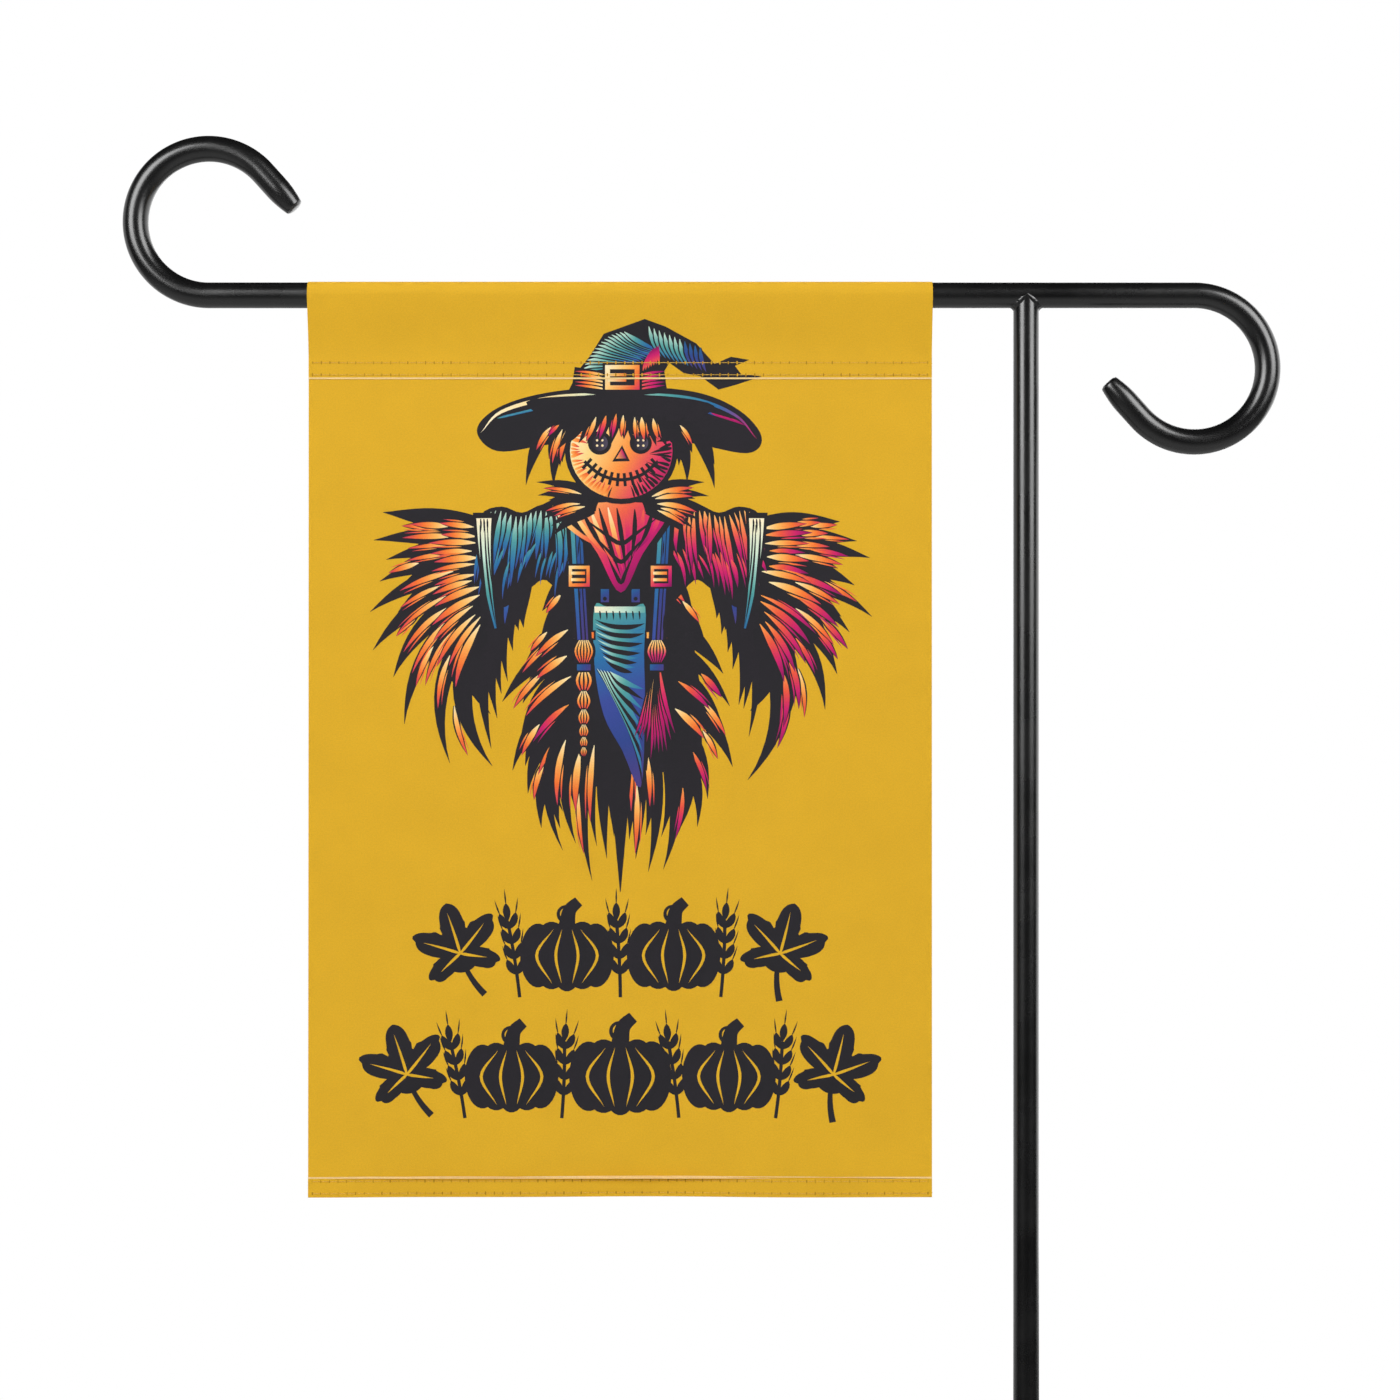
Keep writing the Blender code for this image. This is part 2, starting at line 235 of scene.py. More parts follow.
def claw(line, width):
    """A dark straw, broad at its root and drawn out to a thin tip."""
    return stroke(line, width, INK, 0.3, 0.8, 1.05)


def lit(path, width, ramp, fine=True):
    """A coloured straw with a dark edge, and a fine line beside it."""
    yield stroke(path, width + 1.5, INK, 0.4, 0.3)
    yield stroke(path, width, ramp, 0.4, 0.1)
    if fine:
        side = width * random.choice((-0.78, 0.78))
        yield stroke(part_of(path, rand(0.2, 0.4), rand(0.85, 1.0), side), width * 0.28, ramp[1:], 0.4)


def mirrored(line, side):
    return line * (side, 1)


def thatch(line_of, side, width, dark, bright):
    """Straw along a family of lines: dark layers with thin tips, then rows of coloured straws."""
    for count, reach in dark:
        for index in range(count):
            u = np.clip(index / (count - 1) + rand(-0.02, 0.02), 0, 1)
            line = line_of(u, reach * rand(0.86, 1.08))
            yield claw(mirrored(line, side), width * rand(0.85, 1.2))
    for count, near, far, wide, share in bright:
        for index in range(count):
            u = (index + rand(0.3, 0.7)) / count
            line = mirrored(line_of(u, 1.0), side)
            path = part_of(line, max(0.0, near + rand(-0.07, 0.07)), far + rand(-0.09, 0.07))
            if random.random() < share:
                yield from lit(path, wide * rand(0.75, 1.2), straw_ramp(path[0][0], u))


def hand_line(u, reach):
    """One straw out of a sleeve. They spread sideways at the top and hang at the bottom."""
    tip = np.array([66, -128]) + heading(24 - 116 * u) * (51 + 57 * u**2) * reach
    return bowed((70 - 2 * u, -112 - 50 * u), tip, 0.02 + 0.32 * u, 12)


def hand_straw(side):
    base = [(60, -111), (82, -114), (90, -130), (91, -152), (84, -176), (74, -190), (64, -186), (57, -150)]
    yield mark(closed(mirrored(np.array(base), side)), INK)
    bright = (11, 0.5, 0.84, 2.2, 0.6), (13, 0.28, 0.7, 2.7, 0.7), (14, 0.0, 0.46, 2.9, 0.85)
    yield from thatch(hand_line, side, 9.6, ((10, 1.0), (9, 0.76), (8, 0.55)), bright)


def fringe_line(u, reach):
    """One straw that hangs from under the arm: u runs from the hand to the armpit."""
    root = np.array([61 - 16 * u, -138 + 4 * u])
    return bowed(root, root + (2, (-82 + 56 * u**0.8) * reach), 0.13)


def sleeve_fringe(side):
    yield from thatch(fringe_line, side, 7.4, ((7, 1.0), (5, 0.7)), ())
    for u, share in ((0.1, 0.5), (0.3, 0.45), (0.55, 0.4)):
        path = part_of(mirrored(fringe_line(u, 1.0), side), 0.12, share + 0.12)
        yield stroke(path, 2.4, DENIM_LIGHT[2:] if side < 0 else DENIM_DEEP[1:], 0.4)


def body_line(v, reach):
    """One straw out of the body's side: v runs from the chest to the foot."""
    out = 37 + 18 * math.sin(math.pi * v**1.1 * 0.97)
    return bowed((21 - 3 * v, -134 - 78 * v), (out * reach, -154 - 106 * v), 0.06 + 0.24 * v, 11)


def foot_line(w, reach):
    """One straw of the body's lower end, across from left to right."""
    across = 2 * w - 1
    tip = (28 * across, -206 - (78 - 18 * abs(across) ** 3) * reach)
    return bowed((26 * across, -208), tip, 0.26 * across, 11)


def body_straw():
    """The straw body: dark inside, with thin tips that point out and down all round."""
    core = [(0, -106), (24, -108), (27, -140), (31, -175), (31, -205), (24, -228), (11, -240)]
    core += [(-x, z) for x, z in core[::-1][:-1]]
    yield mark(closed(core), INK)
    for side in (-1, 1):
        share = 0.6 if side < 0 else 0.4
        bright = (7, 0.45, 0.84, 2.7, share), (7, 0.15, 0.6, 3.2, share)
        yield from thatch(body_line, side, 8.6, ((8, 1.0), (8, 0.82)), bright)
    bright = (6, 0.45, 0.9, 2.2, 0.5), (8, 0.15, 0.6, 2.9, 0.7)
    yield from thatch(foot_line, 1, 6.6, ((9, 1.0), (8, 0.8)), bright)
    yield mark([(-4, -206), (4, -206), (6, -228), (0.2, -291), (-0.2, -291), (-6, -228)], INK)


def sleeve(side, ramps):
    """A ragged sleeve, with strokes that fall from the shoulder."""
    outline = closed([(side * x, z) for x, z in (
        (16, -103), (28, -104), (38, -102), (48, -106), (58, -103), (68, -107), (70, -122), (66, -150),
        (56, -152), (44, -143), (36, -139), (24, -150), (14, -132))])
    yield mark(outline, INK)
    for u in shares(17):
        root = np.array([24 + 39 * u, -106.5 - 1.5 * math.sin(u * 12)])
        tip = root + (9 * u - 2 + rand(-2, 3), -rand(14, 32) - 6 * u)
        line = mirrored(bowed(root, tip, -0.1 + 0.16 * u + rand(-0.05, 0.05), 8), side)
        yield from lit(line, rand(1.6, 2.9), ramps)
        root = root + (1.2 + 3 * u, -15 - rand(0, 7))
        line = mirrored(bowed(root, root + (4 + rand(-1, 2), -rand(8, 22)), rand(0, 0.12), 6), side)
        yield stroke(line, rand(0.9, 2.1), ramps[1:], 0.3)


def cuff(side):
    """The turned-up end of a sleeve, wide at the top and narrow at the bottom."""
    middle = mirrored(bowed((66.5, -106), (60, -166), 0.06, 10), side)
    t = np.linspace(0, 1, len(middle))
    yield mark(ribbon(middle, 5.4 - 3.9 * t), INK)
    band = part_of(middle, 0.045, 0.94)
    yield mark(ribbon(band, 3.7 - 3.2 * t), [CREAM[0]] + DENIM_LIGHT[:3], band[0], band[-1])
    for shift, last, width in ((1.9, 0.8, 1.3), (-0.4, 0.95, 1.0), (-1.8, 0.6, 0.8)):
        yield stroke(part_of(middle, 0.1, last, shift * side), width, INK, 0.5, 0.3)
    for shift in (-1.6, 0, 1.6):
        start = middle[0] + (shift, -3)
        yield stroke(bowed(start, start + (0, -7), 0.04, 4), 0.9, INK, 0.3, 0.5)


def collar_line(u, reach):
    root = np.array([10 + 3 * u, -100 - 4 * u])
    return bowed(root, root + heading(16 - 50 * u) * (37 - 13 * u) * reach, 0.16)


def collar():
    """A ruff of straw round the neck."""
    for side in (-1, 1):
        yield from thatch(collar_line, side, 6.2, ((6, 1.0), (5, 0.72)), ((5, 0.2, 0.8, 2.2, 0.8),))


def neckerchief():
    """A tied cloth with folds that run down into its point."""
    outline = [(-28, -103), (-10, -98), (10, -98), (28, -103), (14, -127), (0.3, -149), (-14, -127)]
    yield mark(closed(outline, 5), INK)
    scarf = [(-24, -104.5), (-8, -101), (8, -101), (24, -104.5), (11, -126), (0.3, -145), (-11, -126)]
    yield mark(closed(scarf, 5), ROSE, (-22, -103), (14, -138))
    for index, share in enumerate(shares(13)):
        u = 2 * share - 1
        root = (-6 + 26 * u, -103.5 - 1.5 * abs(u))
        tip = (1.5 + 7 * u, -138 + 15 * abs(u) + rand(-3, 3))
        ramp = INK if index % 2 else CREAM[:1] + ROSE[:3] if u < 0.2 else ROSE[1:]
        yield stroke(bowed(root, tip, 0.14 * u, 9), 2.3, ramp, 0.35, 0.2)
    for drop in (0, 9, 19):
        wide = 20 - drop * 0.7
        line = along([(-wide, -107 - drop), (-wide * 0.4, -116 - drop), (0.4, -121 - drop),
                      (wide * 0.4, -116 - drop), (wide, -107 - drop)], 16)
        yield stroke(line, 2.2, INK, 0.5)


def brace(side):
    """A striped strap with a buckle."""
    line = np.array([(side * 21.5, -112), (side * 20.5, -130), (side * 18.2, -168)], float)
    yield mark(ribbon(line, [5.0, 4.8, 4.4]), INK)
    for shift, half, ramp in ((-1.9, 0.95, DENIM_LIGHT), (0.3, 0.75, DENIM_DEEP), (2.1, 0.6, DENIM_DEEP)):
        strip = line + (shift, 0)
        yield mark(ribbon(strip, [half, half, half * 0.8]), ramp[1:], strip[0], strip[-1])
    for index in range(4):
        start = line[0] + (rand(-3, 3), -7 - 12 * index)
        yield stroke(bowed(start, start + (-0.6, -9), 0.03, 4), 0.7, INK, 0.5)
    centre = np.array([side * 20, -137])
    for size, ramp in ((6.1, INK), (5.1, STRAW_LIGHT if side < 0 else ROSE), (3.5, INK)):
        yield box_mark(centre, size, size, ramp)
    for lift in (-1.7, 1.5):
        yield box_mark(centre + (-0.6, lift), 3.4, 0.75, STRAW_LIGHT[:3])


def bib():
    """The bib of the dungarees with its pocket, and the folds of cloth below."""
    yield mark([(-17, -144), (17, -144), (18, -182), (13, -232), (-3, -222), (-17, -184)], INK)
    for x in (-7.5, 7.5):
        yield box_mark((x, -146.5), 2, 3.2, DENIM_DEEP[1:])
        yield disc((x, -148), 1.0, INK, count=12)
    swath = closed([(-12.6, -152), (-6, -152), (6, -152), (12.2, -152), (11.6, -175), (12, -200), (10, -240),
                    (1, -222), (-8, -205), (-12.6, -180)], 4)
    yield mark(swath, DENIM_LIGHT[1:] + DENIM_DEEP[2:], (-12, -156), (14, -236))
    for index, u in enumerate(shares(11)):
        root = (-12.4 + 5 * u**2, -158 - 20 * u)
        line = bowed(root, (12 - 6 * u**2, -160 - 24 * u), -0.24 + 0.1 * u, 12)
        yield stroke(line, 2.7 - 0.7 * (index % 2), DENIM_LIGHT[:3] if index % 2 else INK, 0.6)
    for index, u in enumerate(shares(10)):
        line = bowed((-12 + 7 * u, -182 - 1.5 * u), (10.5 + u, -238 + 46 * u), 0.16 - 0.3 * u, 12)
        yield stroke(line, 3.4 - 0.6 * u, DENIM_LIGHT[:3] if index % 2 else INK, 0.4)
    hem = [(-12.6, -151.8), (12.2, -151.8), (12.0, -154.8), (-12.5, -154.8)]
    yield mark(hem, [CREAM[0], DENIM_LIGHT[0], DENIM_LIGHT[1]], (-13, -153), (14, -153))
    for index in range(7):
        x = -10 + 3.2 * index
        yield stroke(bowed((x, -154), (x + 0.3, -158.5), 0.05, 3), 0.9, INK, 0.3, 0.6)


def bundle(x, top, size, count, ramp):
    """One lump of tied straw: a dark oval with coloured strands."""
    height = size * 1.35
    yield disc((x, top - height), size + 0.9, INK, 1.25)
    for index in range(count):
        u = (index + 0.5) / count * 2 - 1
        middle = (x + u * size, top - height)
        line = along([(x + u * size * 0.35, top), middle, (x + u * size * 0.35, top - 2 * height)], 8)
        yield stroke(line, size * 1.1 / count, ramp, 0.5, 0.3)


def tied_straw(side):
    """Straw that hangs from a brace: a plait on the left, a tassel on the right."""
    x = side * 17.8
    ramp = STRAW_LIGHT if side < 0 else STRAW_LIGHT[:2] + ROSE[2:]
    if side < 0:
        top, size = -182, 4.4
        for _ in range(6):
            yield from bundle(x, top, size, 4, ramp)
            top -= size * 2.5
            size *= 0.82
    else:
        for share in shares(11):
            u = share - 0.5
            tip = (x + 20 * u - 1, -184 - 30 - 24 * (0.5 - abs(u)) + rand(-4, 4))
            line = bowed((x + 3 * u, -182), tip, -0.14 * u, 9)
            yield from lit(line, 1.9, ramp if u < 0.15 else ROSE[1:], False)
    yield from bundle(x, -167, 4.9, 6, ramp)
    for z, size, shade in ((-165.8, 4.9, STRAW_LIGHT[1:3]), (-181.5, 3.3, DENIM_DEEP[1:])):
        yield from [box_mark((x, z), size + 0.9, 2.4, INK), box_mark((x, z), size, 1.5, shade)]


def face():
    """A round sack with button eyes, a patch nose and a sewn smile."""
    centre = np.array([0.5, -76.0])
    shade = [CREAM[0], (1.0, 0.84, 0.52), (0.98, 0.58, 0.26), (0.86, 0.2, 0.4), (0.5, 0.1, 0.36)]
    yield disc(centre, 27.5, INK, 0.94, 40)
    yield disc(centre, 25, shade, 0.93, 40, centre + (-26, 12), centre + (30, -18))
    for index in range(64):
        turn = -75 + 330 * index / 63
        dark = math.cos(math.radians(turn + 25)) > rand(-0.5, 0.5)
        edge = centre + heading(turn) * (24.6, 23.2)
        tip = edge - heading(turn + rand(-14, 14)) * rand(4, 12 if dark else 8)
        inward = bowed(edge, tip, rand(-0.1, 0.1), 6)
        yield stroke(inward, rand(0.9, 2.0), INK if dark else STRAW_LIGHT[1:], 0.15, 0.6)
    for x, radius in ((-10.5, 5.8), (9.5, 5.4)):
        eye = centre + (x, 4)
        yield disc(eye, radius, INK, 1.0, 26)
        yield disc(eye, radius * 0.68, [(0.32, 0.29, 0.36), (0.16, 0.15, 0.18)], 1.0, 22)
        for dx, dz in ((-1, 1), (1, 1), (-1, -1), (1, -1)):
            yield disc(eye + (dx * 1.3, dz * 1.3), 0.6, CREAM, count=8)
    for size, ramp in ((1.0, INK), (0.6, STRAW_DEEP)):
        corners = np.array([(-4.4, -3.6), (4.2, -3.4), (0.4, 4.4)]) * size
        yield mark(corners + centre + (0, -1.5), ramp)
    mouth = along(np.array([(-18, -5), (-10, -11.5), (0, -14), (10, -11.5), (18, -5)]) + centre, 24)
    yield strap(mouth, 0.8, 0.8)
    normals = sides_of(mouth)
    for index in range(1, len(mouth) - 1, 2):
        ends = np.array([mouth[index] - normals[index] * 3.2, mouth[index] + normals[index] * 3.2])
        yield strap(ends, 0.75, 0.75)


def side_hair_line(u, reach):
    root = np.array([33 - 11 * u, -62 - u])
    return bowed(root, root + (13 - 11 * u, (-19 - 12 * math.sin(2 + 9 * u)) * reach), 0.14)


def forehead_line(u, reach):
    across = u * 2 - 1
    height = -57 - 3 * across**2
    tip = (30 * across - 2, -57 - 15 * reach - 3 * across**2)
    return bowed((22 * across, height), tip, -0.1 * across, 7)


def hair():
    """Straw that shows under the hat: long at the sides, with a fringe on the forehead."""
    shade = [(-46, -52), (-20, -49), (20, -49), (46, -54), (30, -63)]
    shade += [(14, -61.5), (0, -61), (-14, -61.5), (-30, -63)]
    yield mark(closed(shade), INK)
    for side in (-1, 1):
        share = 0.75 if side < 0 else 0.35
        yield from thatch(side_hair_line, side, 5.6, ((6, 1.0), (5, 0.75)), ((6, 0.05, 0.7, 2.2, share),))
    yield from thatch(forehead_line, 1, 4.6, ((12, 1.0),), ((10, 0.1, 0.85, 2.2, 0.65),))


def hat_brim():
    outline = [(-70, -66), (-60, -55), (-36, -47.5), (0, -44.5), (36, -47), (58, -56)]
    outline += [(69, -69), (62, -77), (34, -72), (0, -68), (-36, -73), (-60, -76)]
    yield mark(closed(outline, 6), INK)
    rim = along([(-68, -67), (-58, -56.8), (-34, -50), (-4, -47.4)], 18)
    yield stroke(rim, 1.9, CREAM + DENIM_LIGHT[:1], 0.6)
    rim = along([(-2, -47.2), (34, -50.2), (56, -58.4), (66.5, -70)], 18)
    yield stroke(rim, 1.7, [DENIM_LIGHT[0]] + DENIM_LIGHT[1:3] + ROSE[2:3], 0.35)
    for index, u in enumerate(shares(9)):
        line = along([(-60 + 26 * u, -60 + 7 * u), (-50 + 26 * u, -57.5 + 5 * u)], 6)
        yield stroke(line, 1.1, DENIM_LIGHT[1:], 0.4)
        line = along([(28 + 26 * u, -53 - 7 * u), (38 + 23 * u, -55.5 - 8 * u)], 6)
        yield stroke(line, 1.0, DENIM_DEEP[1:] if index < 5 else ROSE[2:], 0.4)


def hat_crown():
    """A pointed hat with a bent tip, a band and a buckle."""
    outline = [(-25.5, -47), (-20, -36), (-15, -30), (-8, -19), (12, -12), (22, -15.5), (37, -23.5)]
    outline += [(46, -33.5), (54, -30), (63, -31.5), (56, -34.5), (59, -38.5), (69, -39.5), (57, -43.5)]
    outline += [(48, -46), (39, -39.5), (31, -38), (24, -33), (21.5, -37), (23, -47.5), (0, -49.5)]
    yield mark(outline, INK)
    for index, u in enumerate(shares(15)):
        start = (-19 + 12 * u + 9 * u * u, -38 + 20 * math.sin(u * 1.5))
        line = bowed(start, (4 + 15 * u, -37 + 10 * u), 0.22 - 0.3 * u, 10)
        yield from lit(line, 2.2, DENIM_LIGHT[:3] if index % 2 else DENIM_LIGHT, index % 3 == 0)
    for index, u in enumerate(shares(11)):
        line = bowed((14 + 25 * u, -15.5 - 10 * u), (20 + 22 * u, -30 - 7.5 * u), -0.12, 8)
        yield from lit(line, 1.9, DENIM_LIGHT[:3] if index < 7 else DENIM_DEEP[1:], False)
    for u in shares(7):
        line = bowed((11 + 8 * u, -37 + 4 * u), (16 + 3 * u, -26 + 2 * u), 0.1, 6)
        yield stroke(line, 1.4, ROSE[1:], 0.3)
    band = along([(-23, -40.5), (-8, -42.5), (8, -42.7), (22, -41)], 12)
    yield strap(band, 5.6, 5.6)
    for side, ramp in ((-1, STRAW_LIGHT), (1, ROSE[1:])):
        for index in range(5):
            shift = 1.7 * index - 3.4
            line = bowed((side * 8 + 1, -42.5 + shift), (side * 22, -40.5 + shift), 0.05 * side, 8)
            yield stroke(line, 1.2, ramp, 0.5, 0.4)
    for width, height, ramp in ((9.6, 7.2, INK), (8.4, 6.0, CREAM + STRAW_LIGHT[1:]), (6.0, 3.9, INK)):
        yield box_mark((1, -40), width, height, ramp)
    for lift in (-1.4, 1.2):
        yield box_mark((-1.5, -40 + lift), 4.4, 0.7, STRAW_LIGHT[:3])


def pumpkin(x, z, size):
    """A dark pumpkin with gold lines between its ribs."""
    bends = ((0, 0.34), (0.03, 0.5), (0.13, 0.6))
    stem = along([(x + out * size, z + rise * size) for out, rise in bends], 8)
    yield strap(stem, size * 0.09, size * 0.06)
    for rib, wide in ((-0.32, 0.2), (0.32, 0.2), (-0.17, 0.22), (0.17, 0.22), (0, 0.2)):
        yield disc((x + rib * size, z), wide * size, INK, 0.4 / wide * (1 - 0.35 * abs(rib)), 30)
    for rib in (-0.3, -0.11, 0.11, 0.3):
        top = (x + rib * size * 0.5, z + size * 0.29)
        line = along([top, (x + rib * size * 1.12, z), (x + rib * size * 0.55, z - size * 0.31)], 12)
        yield stroke(line, size * 0.032, GOLD, 0.5)
    curl = spine((x - size * 0.04, z + size * 0.38), 160, size * 0.34, -230, 12)
    yield strap(curl, size * 0.022, size * 0.012)


def maple_leaf(x, z, size, tilt):
    """A dark lobed leaf with gold veins."""
    turn = np.linspace(-180, 180, 120, endpoint=False)
    lobes = np.zeros(len(turn))
    tines = ((0, 0.5, 32), (56, 0.46, 31), (-56, 0.46, 31), (116, 0.3, 30), (-116, 0.3, 30))
    for centre, reach, spread in tines:
        away = np.abs((turn - centre + 180) % 360 - 180) / spread
        lobes = np.maximum(lobes, reach * np.clip(1 - away, 0, 1) ** 0.8)
    teeth = 0.035 * np.abs(np.sin(np.radians(turn) * 9))
    radius = (0.2 + lobes * 0.68 + teeth * (lobes > 0.12)) * size
    angle = np.radians(turn + 90 + tilt)
    ring = unit(angle) * radius[:, None] + (x, z)
    stem = spine((x, z), -90 + tilt, size * 0.5, 30, 7)
    yield strap(stem, size * 0.02, size * 0.035)
    yield mark(ring, INK)
    for centre, reach in ((0, 0.44), (56, 0.4), (-56, 0.4), (116, 0.28), (-116, 0.28)):
        vein = spine((x, z), centre + 90 + tilt, reach * size, 4, 6)
        yield stroke(vein, size * 0.03, GOLD, 0.1, 0.6)


def wheat_ear(x, z, size, tilt):
    """A dark ear of wheat on a short stalk: pairs of grains, and one at the tip."""
    stalk = spine((x, z) - heading(90 + tilt) * size * 0.5, 90 + tilt, size * 0.8, 6, 10)
    yield strap(stalk, size * 0.018, size * 0.018)
    for spot, lean in [(spot, lean) for spot in (3, 5, 7, 9) for lean in (-34, 34)] + [(10, 0)]:
        grain = spine(stalk[spot], 90 + tilt + lean * 1.3, size * 0.19, -lean, 6)
        yield stroke(grain, size * 0.08, INK, 0.5, 0.2, 0.7)
        awn = spine(grain[-1], 90 + tilt + lean * 0.5, size * 0.15, -lean * 0.2, 3)
        yield stroke(awn, size * 0.018, INK, 0.2, 0.6)


def harvest_rows():
    """Two rows of pumpkins, leaves and wheat under the scarecrow."""
    upper, lower = -322, -381
    for x, tilt in ((-51.5, 6), (51.5, -6), (0, 0)):
        yield from wheat_ear(x, upper + 3, 47, tilt)
    for x in (-26, 26):
        yield from pumpkin(x, upper, 44)
    for side in (-1, 1):
        yield from maple_leaf(side * 78, upper + 1, 47, -side * 16)
    for x, tilt in ((-26.5, -5), (26.5, 5), (-79, 8), (79, -8)):
        yield from wheat_ear(x, lower + 3, 47, tilt)
    for x, size in ((-53, 44), (0, 48), (53, 44)):
        yield from pumpkin(x, lower, size)
    for side in (-1, 1):
        yield from maple_leaf(side * 104, lower + 1, 47, -side * 16)


def scarecrow():
    """All shapes of the figure, from the lowest layer to the highest."""
    for side in (-1, 1):
        yield from (*sleeve_fringe(side), *hand_straw(side))
    yield from (*body_straw(), *bib(), *sleeve(-1, DENIM_LIGHT), *sleeve(1, ROSE))
    for side in (-1, 1):
        yield from (*cuff(side), *tied_straw(side), *brace(side))
    yield from (*neckerchief(), *collar(), *hat_brim(), *face(), *hair(), *hat_crown())


def needle_hole_shades(z, x_reach):
    """Painted shade along a row of stitches: a darker dash at each needle hole stands for the shade in the
    hole.
    """
    count = round(2 * x_reach / STITCH)
    for index in range(count + 1):
        x = -x_reach + index * 2 * x_reach / count
        shade = random.choice(NEEDLE_HOLE_SHADE)
        yield disc((x + rand(-0.15, 0.15), z), 0.4, [shade, shade], rand(1.8, 2.5), 8)


# Cloth. Lengths are in millimetres until the mesh is made.
CLOTH = 0.3
LAYER = 0.36  # from the middle of one layer to the middle of the next
WIDTH = (PANEL_HIGH.x - PANEL_LOW.x) / MM
HALF = WIDTH / 2
TUBE_MM = TUBE / MM
LOOP = TUBE_MM + CLOTH / 2 + 0.04
SLEEVE_EDGE = (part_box("flag_header_front")[0].z - BAR.z) / MM
HEM_EDGE = (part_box("flag_bottom_hem")[1].z - BAR.z) / MM
BOTTOM = (PANEL_LOW.z - BAR.z) / MM
SEWN_TOP = SLEEVE_EDGE + 10.5  # the layers lie together from here down
NEEDLE_ROWS = (2.1, 8.0)  # from the cut edge
STITCH = 4.2
CUT_BAND = 0.8  # width of the unprinted edge
GRID = 3.0  # spacing of the cloth's points
SEAM_END = 2  # from the flag's side to the first hole
PRINT_SEED = 5


def hermite(start, start_way, end, end_way, count):
    """Points of a curve between two places, with its way at both."""
    t = np.linspace(0, 1, count)[:, None]
    start, start_way, end, end_way = map(np.array, (start, start_way, end, end_way))
    return (
        (2 * t**3 - 3 * t**2 + 1) * start
        + (t**3 - 2 * t**2 + t) * start_way
        + (3 * t**2 - 2 * t**3) * end
        + (t**3 - t**2) * end_way
    )


def upright(y, heights):
    """A straight stretch of the strip, at depth y."""
    return np.stack([np.full(len(heights), y), heights], axis=1)


def cloth_profile():
    """The strip seen from its side, as (y, z) points, with the places where it turns back."""
    lean = math.asin(LOOP / -SEWN_TOP) * 0.8
    tangent = np.array([LOOP * math.cos(lean), -LOOP * math.sin(lean)])
    reach = -SEWN_TOP * 0.9
    down = np.array([-math.sin(lean), -math.cos(lean)]) * reach
    back = hermite(tangent, down, (0, SEWN_TOP), (0, -reach * 0.8), 22)
    mirror = np.array([-1, 1])
    front = hermite(tangent * mirror, down * mirror, (-LAYER, SEWN_TOP), (0, -reach * 0.8), 22)[::-1]
    over = unit(np.linspace(math.pi + lean, -lean, 29)[1:-1]) * LOOP
    flap = upright(-LAYER, np.linspace(SLEEVE_EDGE, SEWN_TOP, 8)[:-1])
    panel = upright(0.0, np.linspace(SEWN_TOP, BOTTOM + LAYER, 12)[1:])
    half_turn = unit(np.linspace(0, -math.pi, 9)[1:]) - (1, 0)
    fold = half_turn * LAYER / 2 + (0, BOTTOM + LAYER)
    hem = upright(-LAYER, np.linspace(BOTTOM + 1, HEM_EDGE, 3))
    parts = (flap, front, over, back, panel, fold, hem)
    line = np.vstack(parts)
    length = np.concatenate([[0], np.cumsum(np.linalg.norm(np.diff(line, axis=0), axis=1))])
    ends = np.cumsum([len(part) for part in parts])
    top = ends[1] + len(over) // 2
    low = ends[4] + len(fold) // 2 - 1
    return line, length, top, low


LINE, LENGTH, TOP_AT, LOW_AT = cloth_profile()
REGIONS = ((0, TOP_AT), (TOP_AT, LOW_AT), (LOW_AT, len(LINE) - 1))


def height_of(places):
    return np.interp(places, LENGTH, LINE[:, 1])


def clipped(start, end, low, high):
    """The part of a segment between two heights, or None."""
    if start[1] > end[1]:
        start, end = end, start
    if end[1] <= low or start[1] >= high:
        return None
    rise = end[1] - start[1]
    first = start if start[1] >= low else start + (end - start) * (low - start[1]) / rise
    last = end if end[1] <= high else start + (end - start) * (high - start[1]) / rise
    return first, last


def strip_edges(marks):
    """The outlines of all marks on the flat strip, as (x, distance along the strip) segments."""
    segments = []
    for first, last in REGIONS:
        heights, places = LINE[first : last + 1, 1], LENGTH[first : last + 1]
        if heights[0] > heights[-1]:
            heights, places = heights[::-1], places[::-1]
        low, high = heights[0] + 0.05, heights[-1] - 0.05
        for item in marks:
            ring = item["outline"]
            for a, b in zip(ring, np.roll(ring, -1, axis=0)):
                piece = clipped(a, b, low, high)
                if piece is not None:
                    ends = [(p[0], np.interp(p[1], heights, places)) for p in piece]
                    segments.append(ends)
    return segments


def grid_rows():
    """Places along the strip that get a row of points: closer where the strip bends."""
    rows = [0.0]
    for a, b in zip(LENGTH, LENGTH[1:]):
        count = max(1, round((b - a) / GRID))
        rows += [a + (b - a) * (step + 1) / count for step in range(count)]
    return rows


def triangles(grid, segments):
    """Triangles over the grid's points whose edges follow the segments."""
    points = [Vector(p) for p in grid]
    edges = []
    for a, b in segments:
        edges.append((len(points), len(points) + 1))
        points += [Vector(a), Vector(b)]
    found = delaunay_2d_cdt(points, edges, [], 0, 1e-3, False)
    verts = np.array([(v.x, v.y) for v in found[0]])
    faces = np.array([f[::-1] for f in found[2] if len(f) == 3])
    return verts, faces


def tops(verts, faces, marks):
    """The number of the highest mark on each face, or -1."""
    centres = verts[faces].mean(axis=1)
    centres[:, 1] = height_of(centres[:, 1])
    return topmost(centres, marks)


def owners(verts, faces, marks):
    """The number of the highest mark on each face. All dark marks count as one."""
    top = tops(verts, faces, marks)
    dark = np.array([item["ramp"] is INK for item in marks] + [False])
    return np.where(dark[top], len(marks), top)


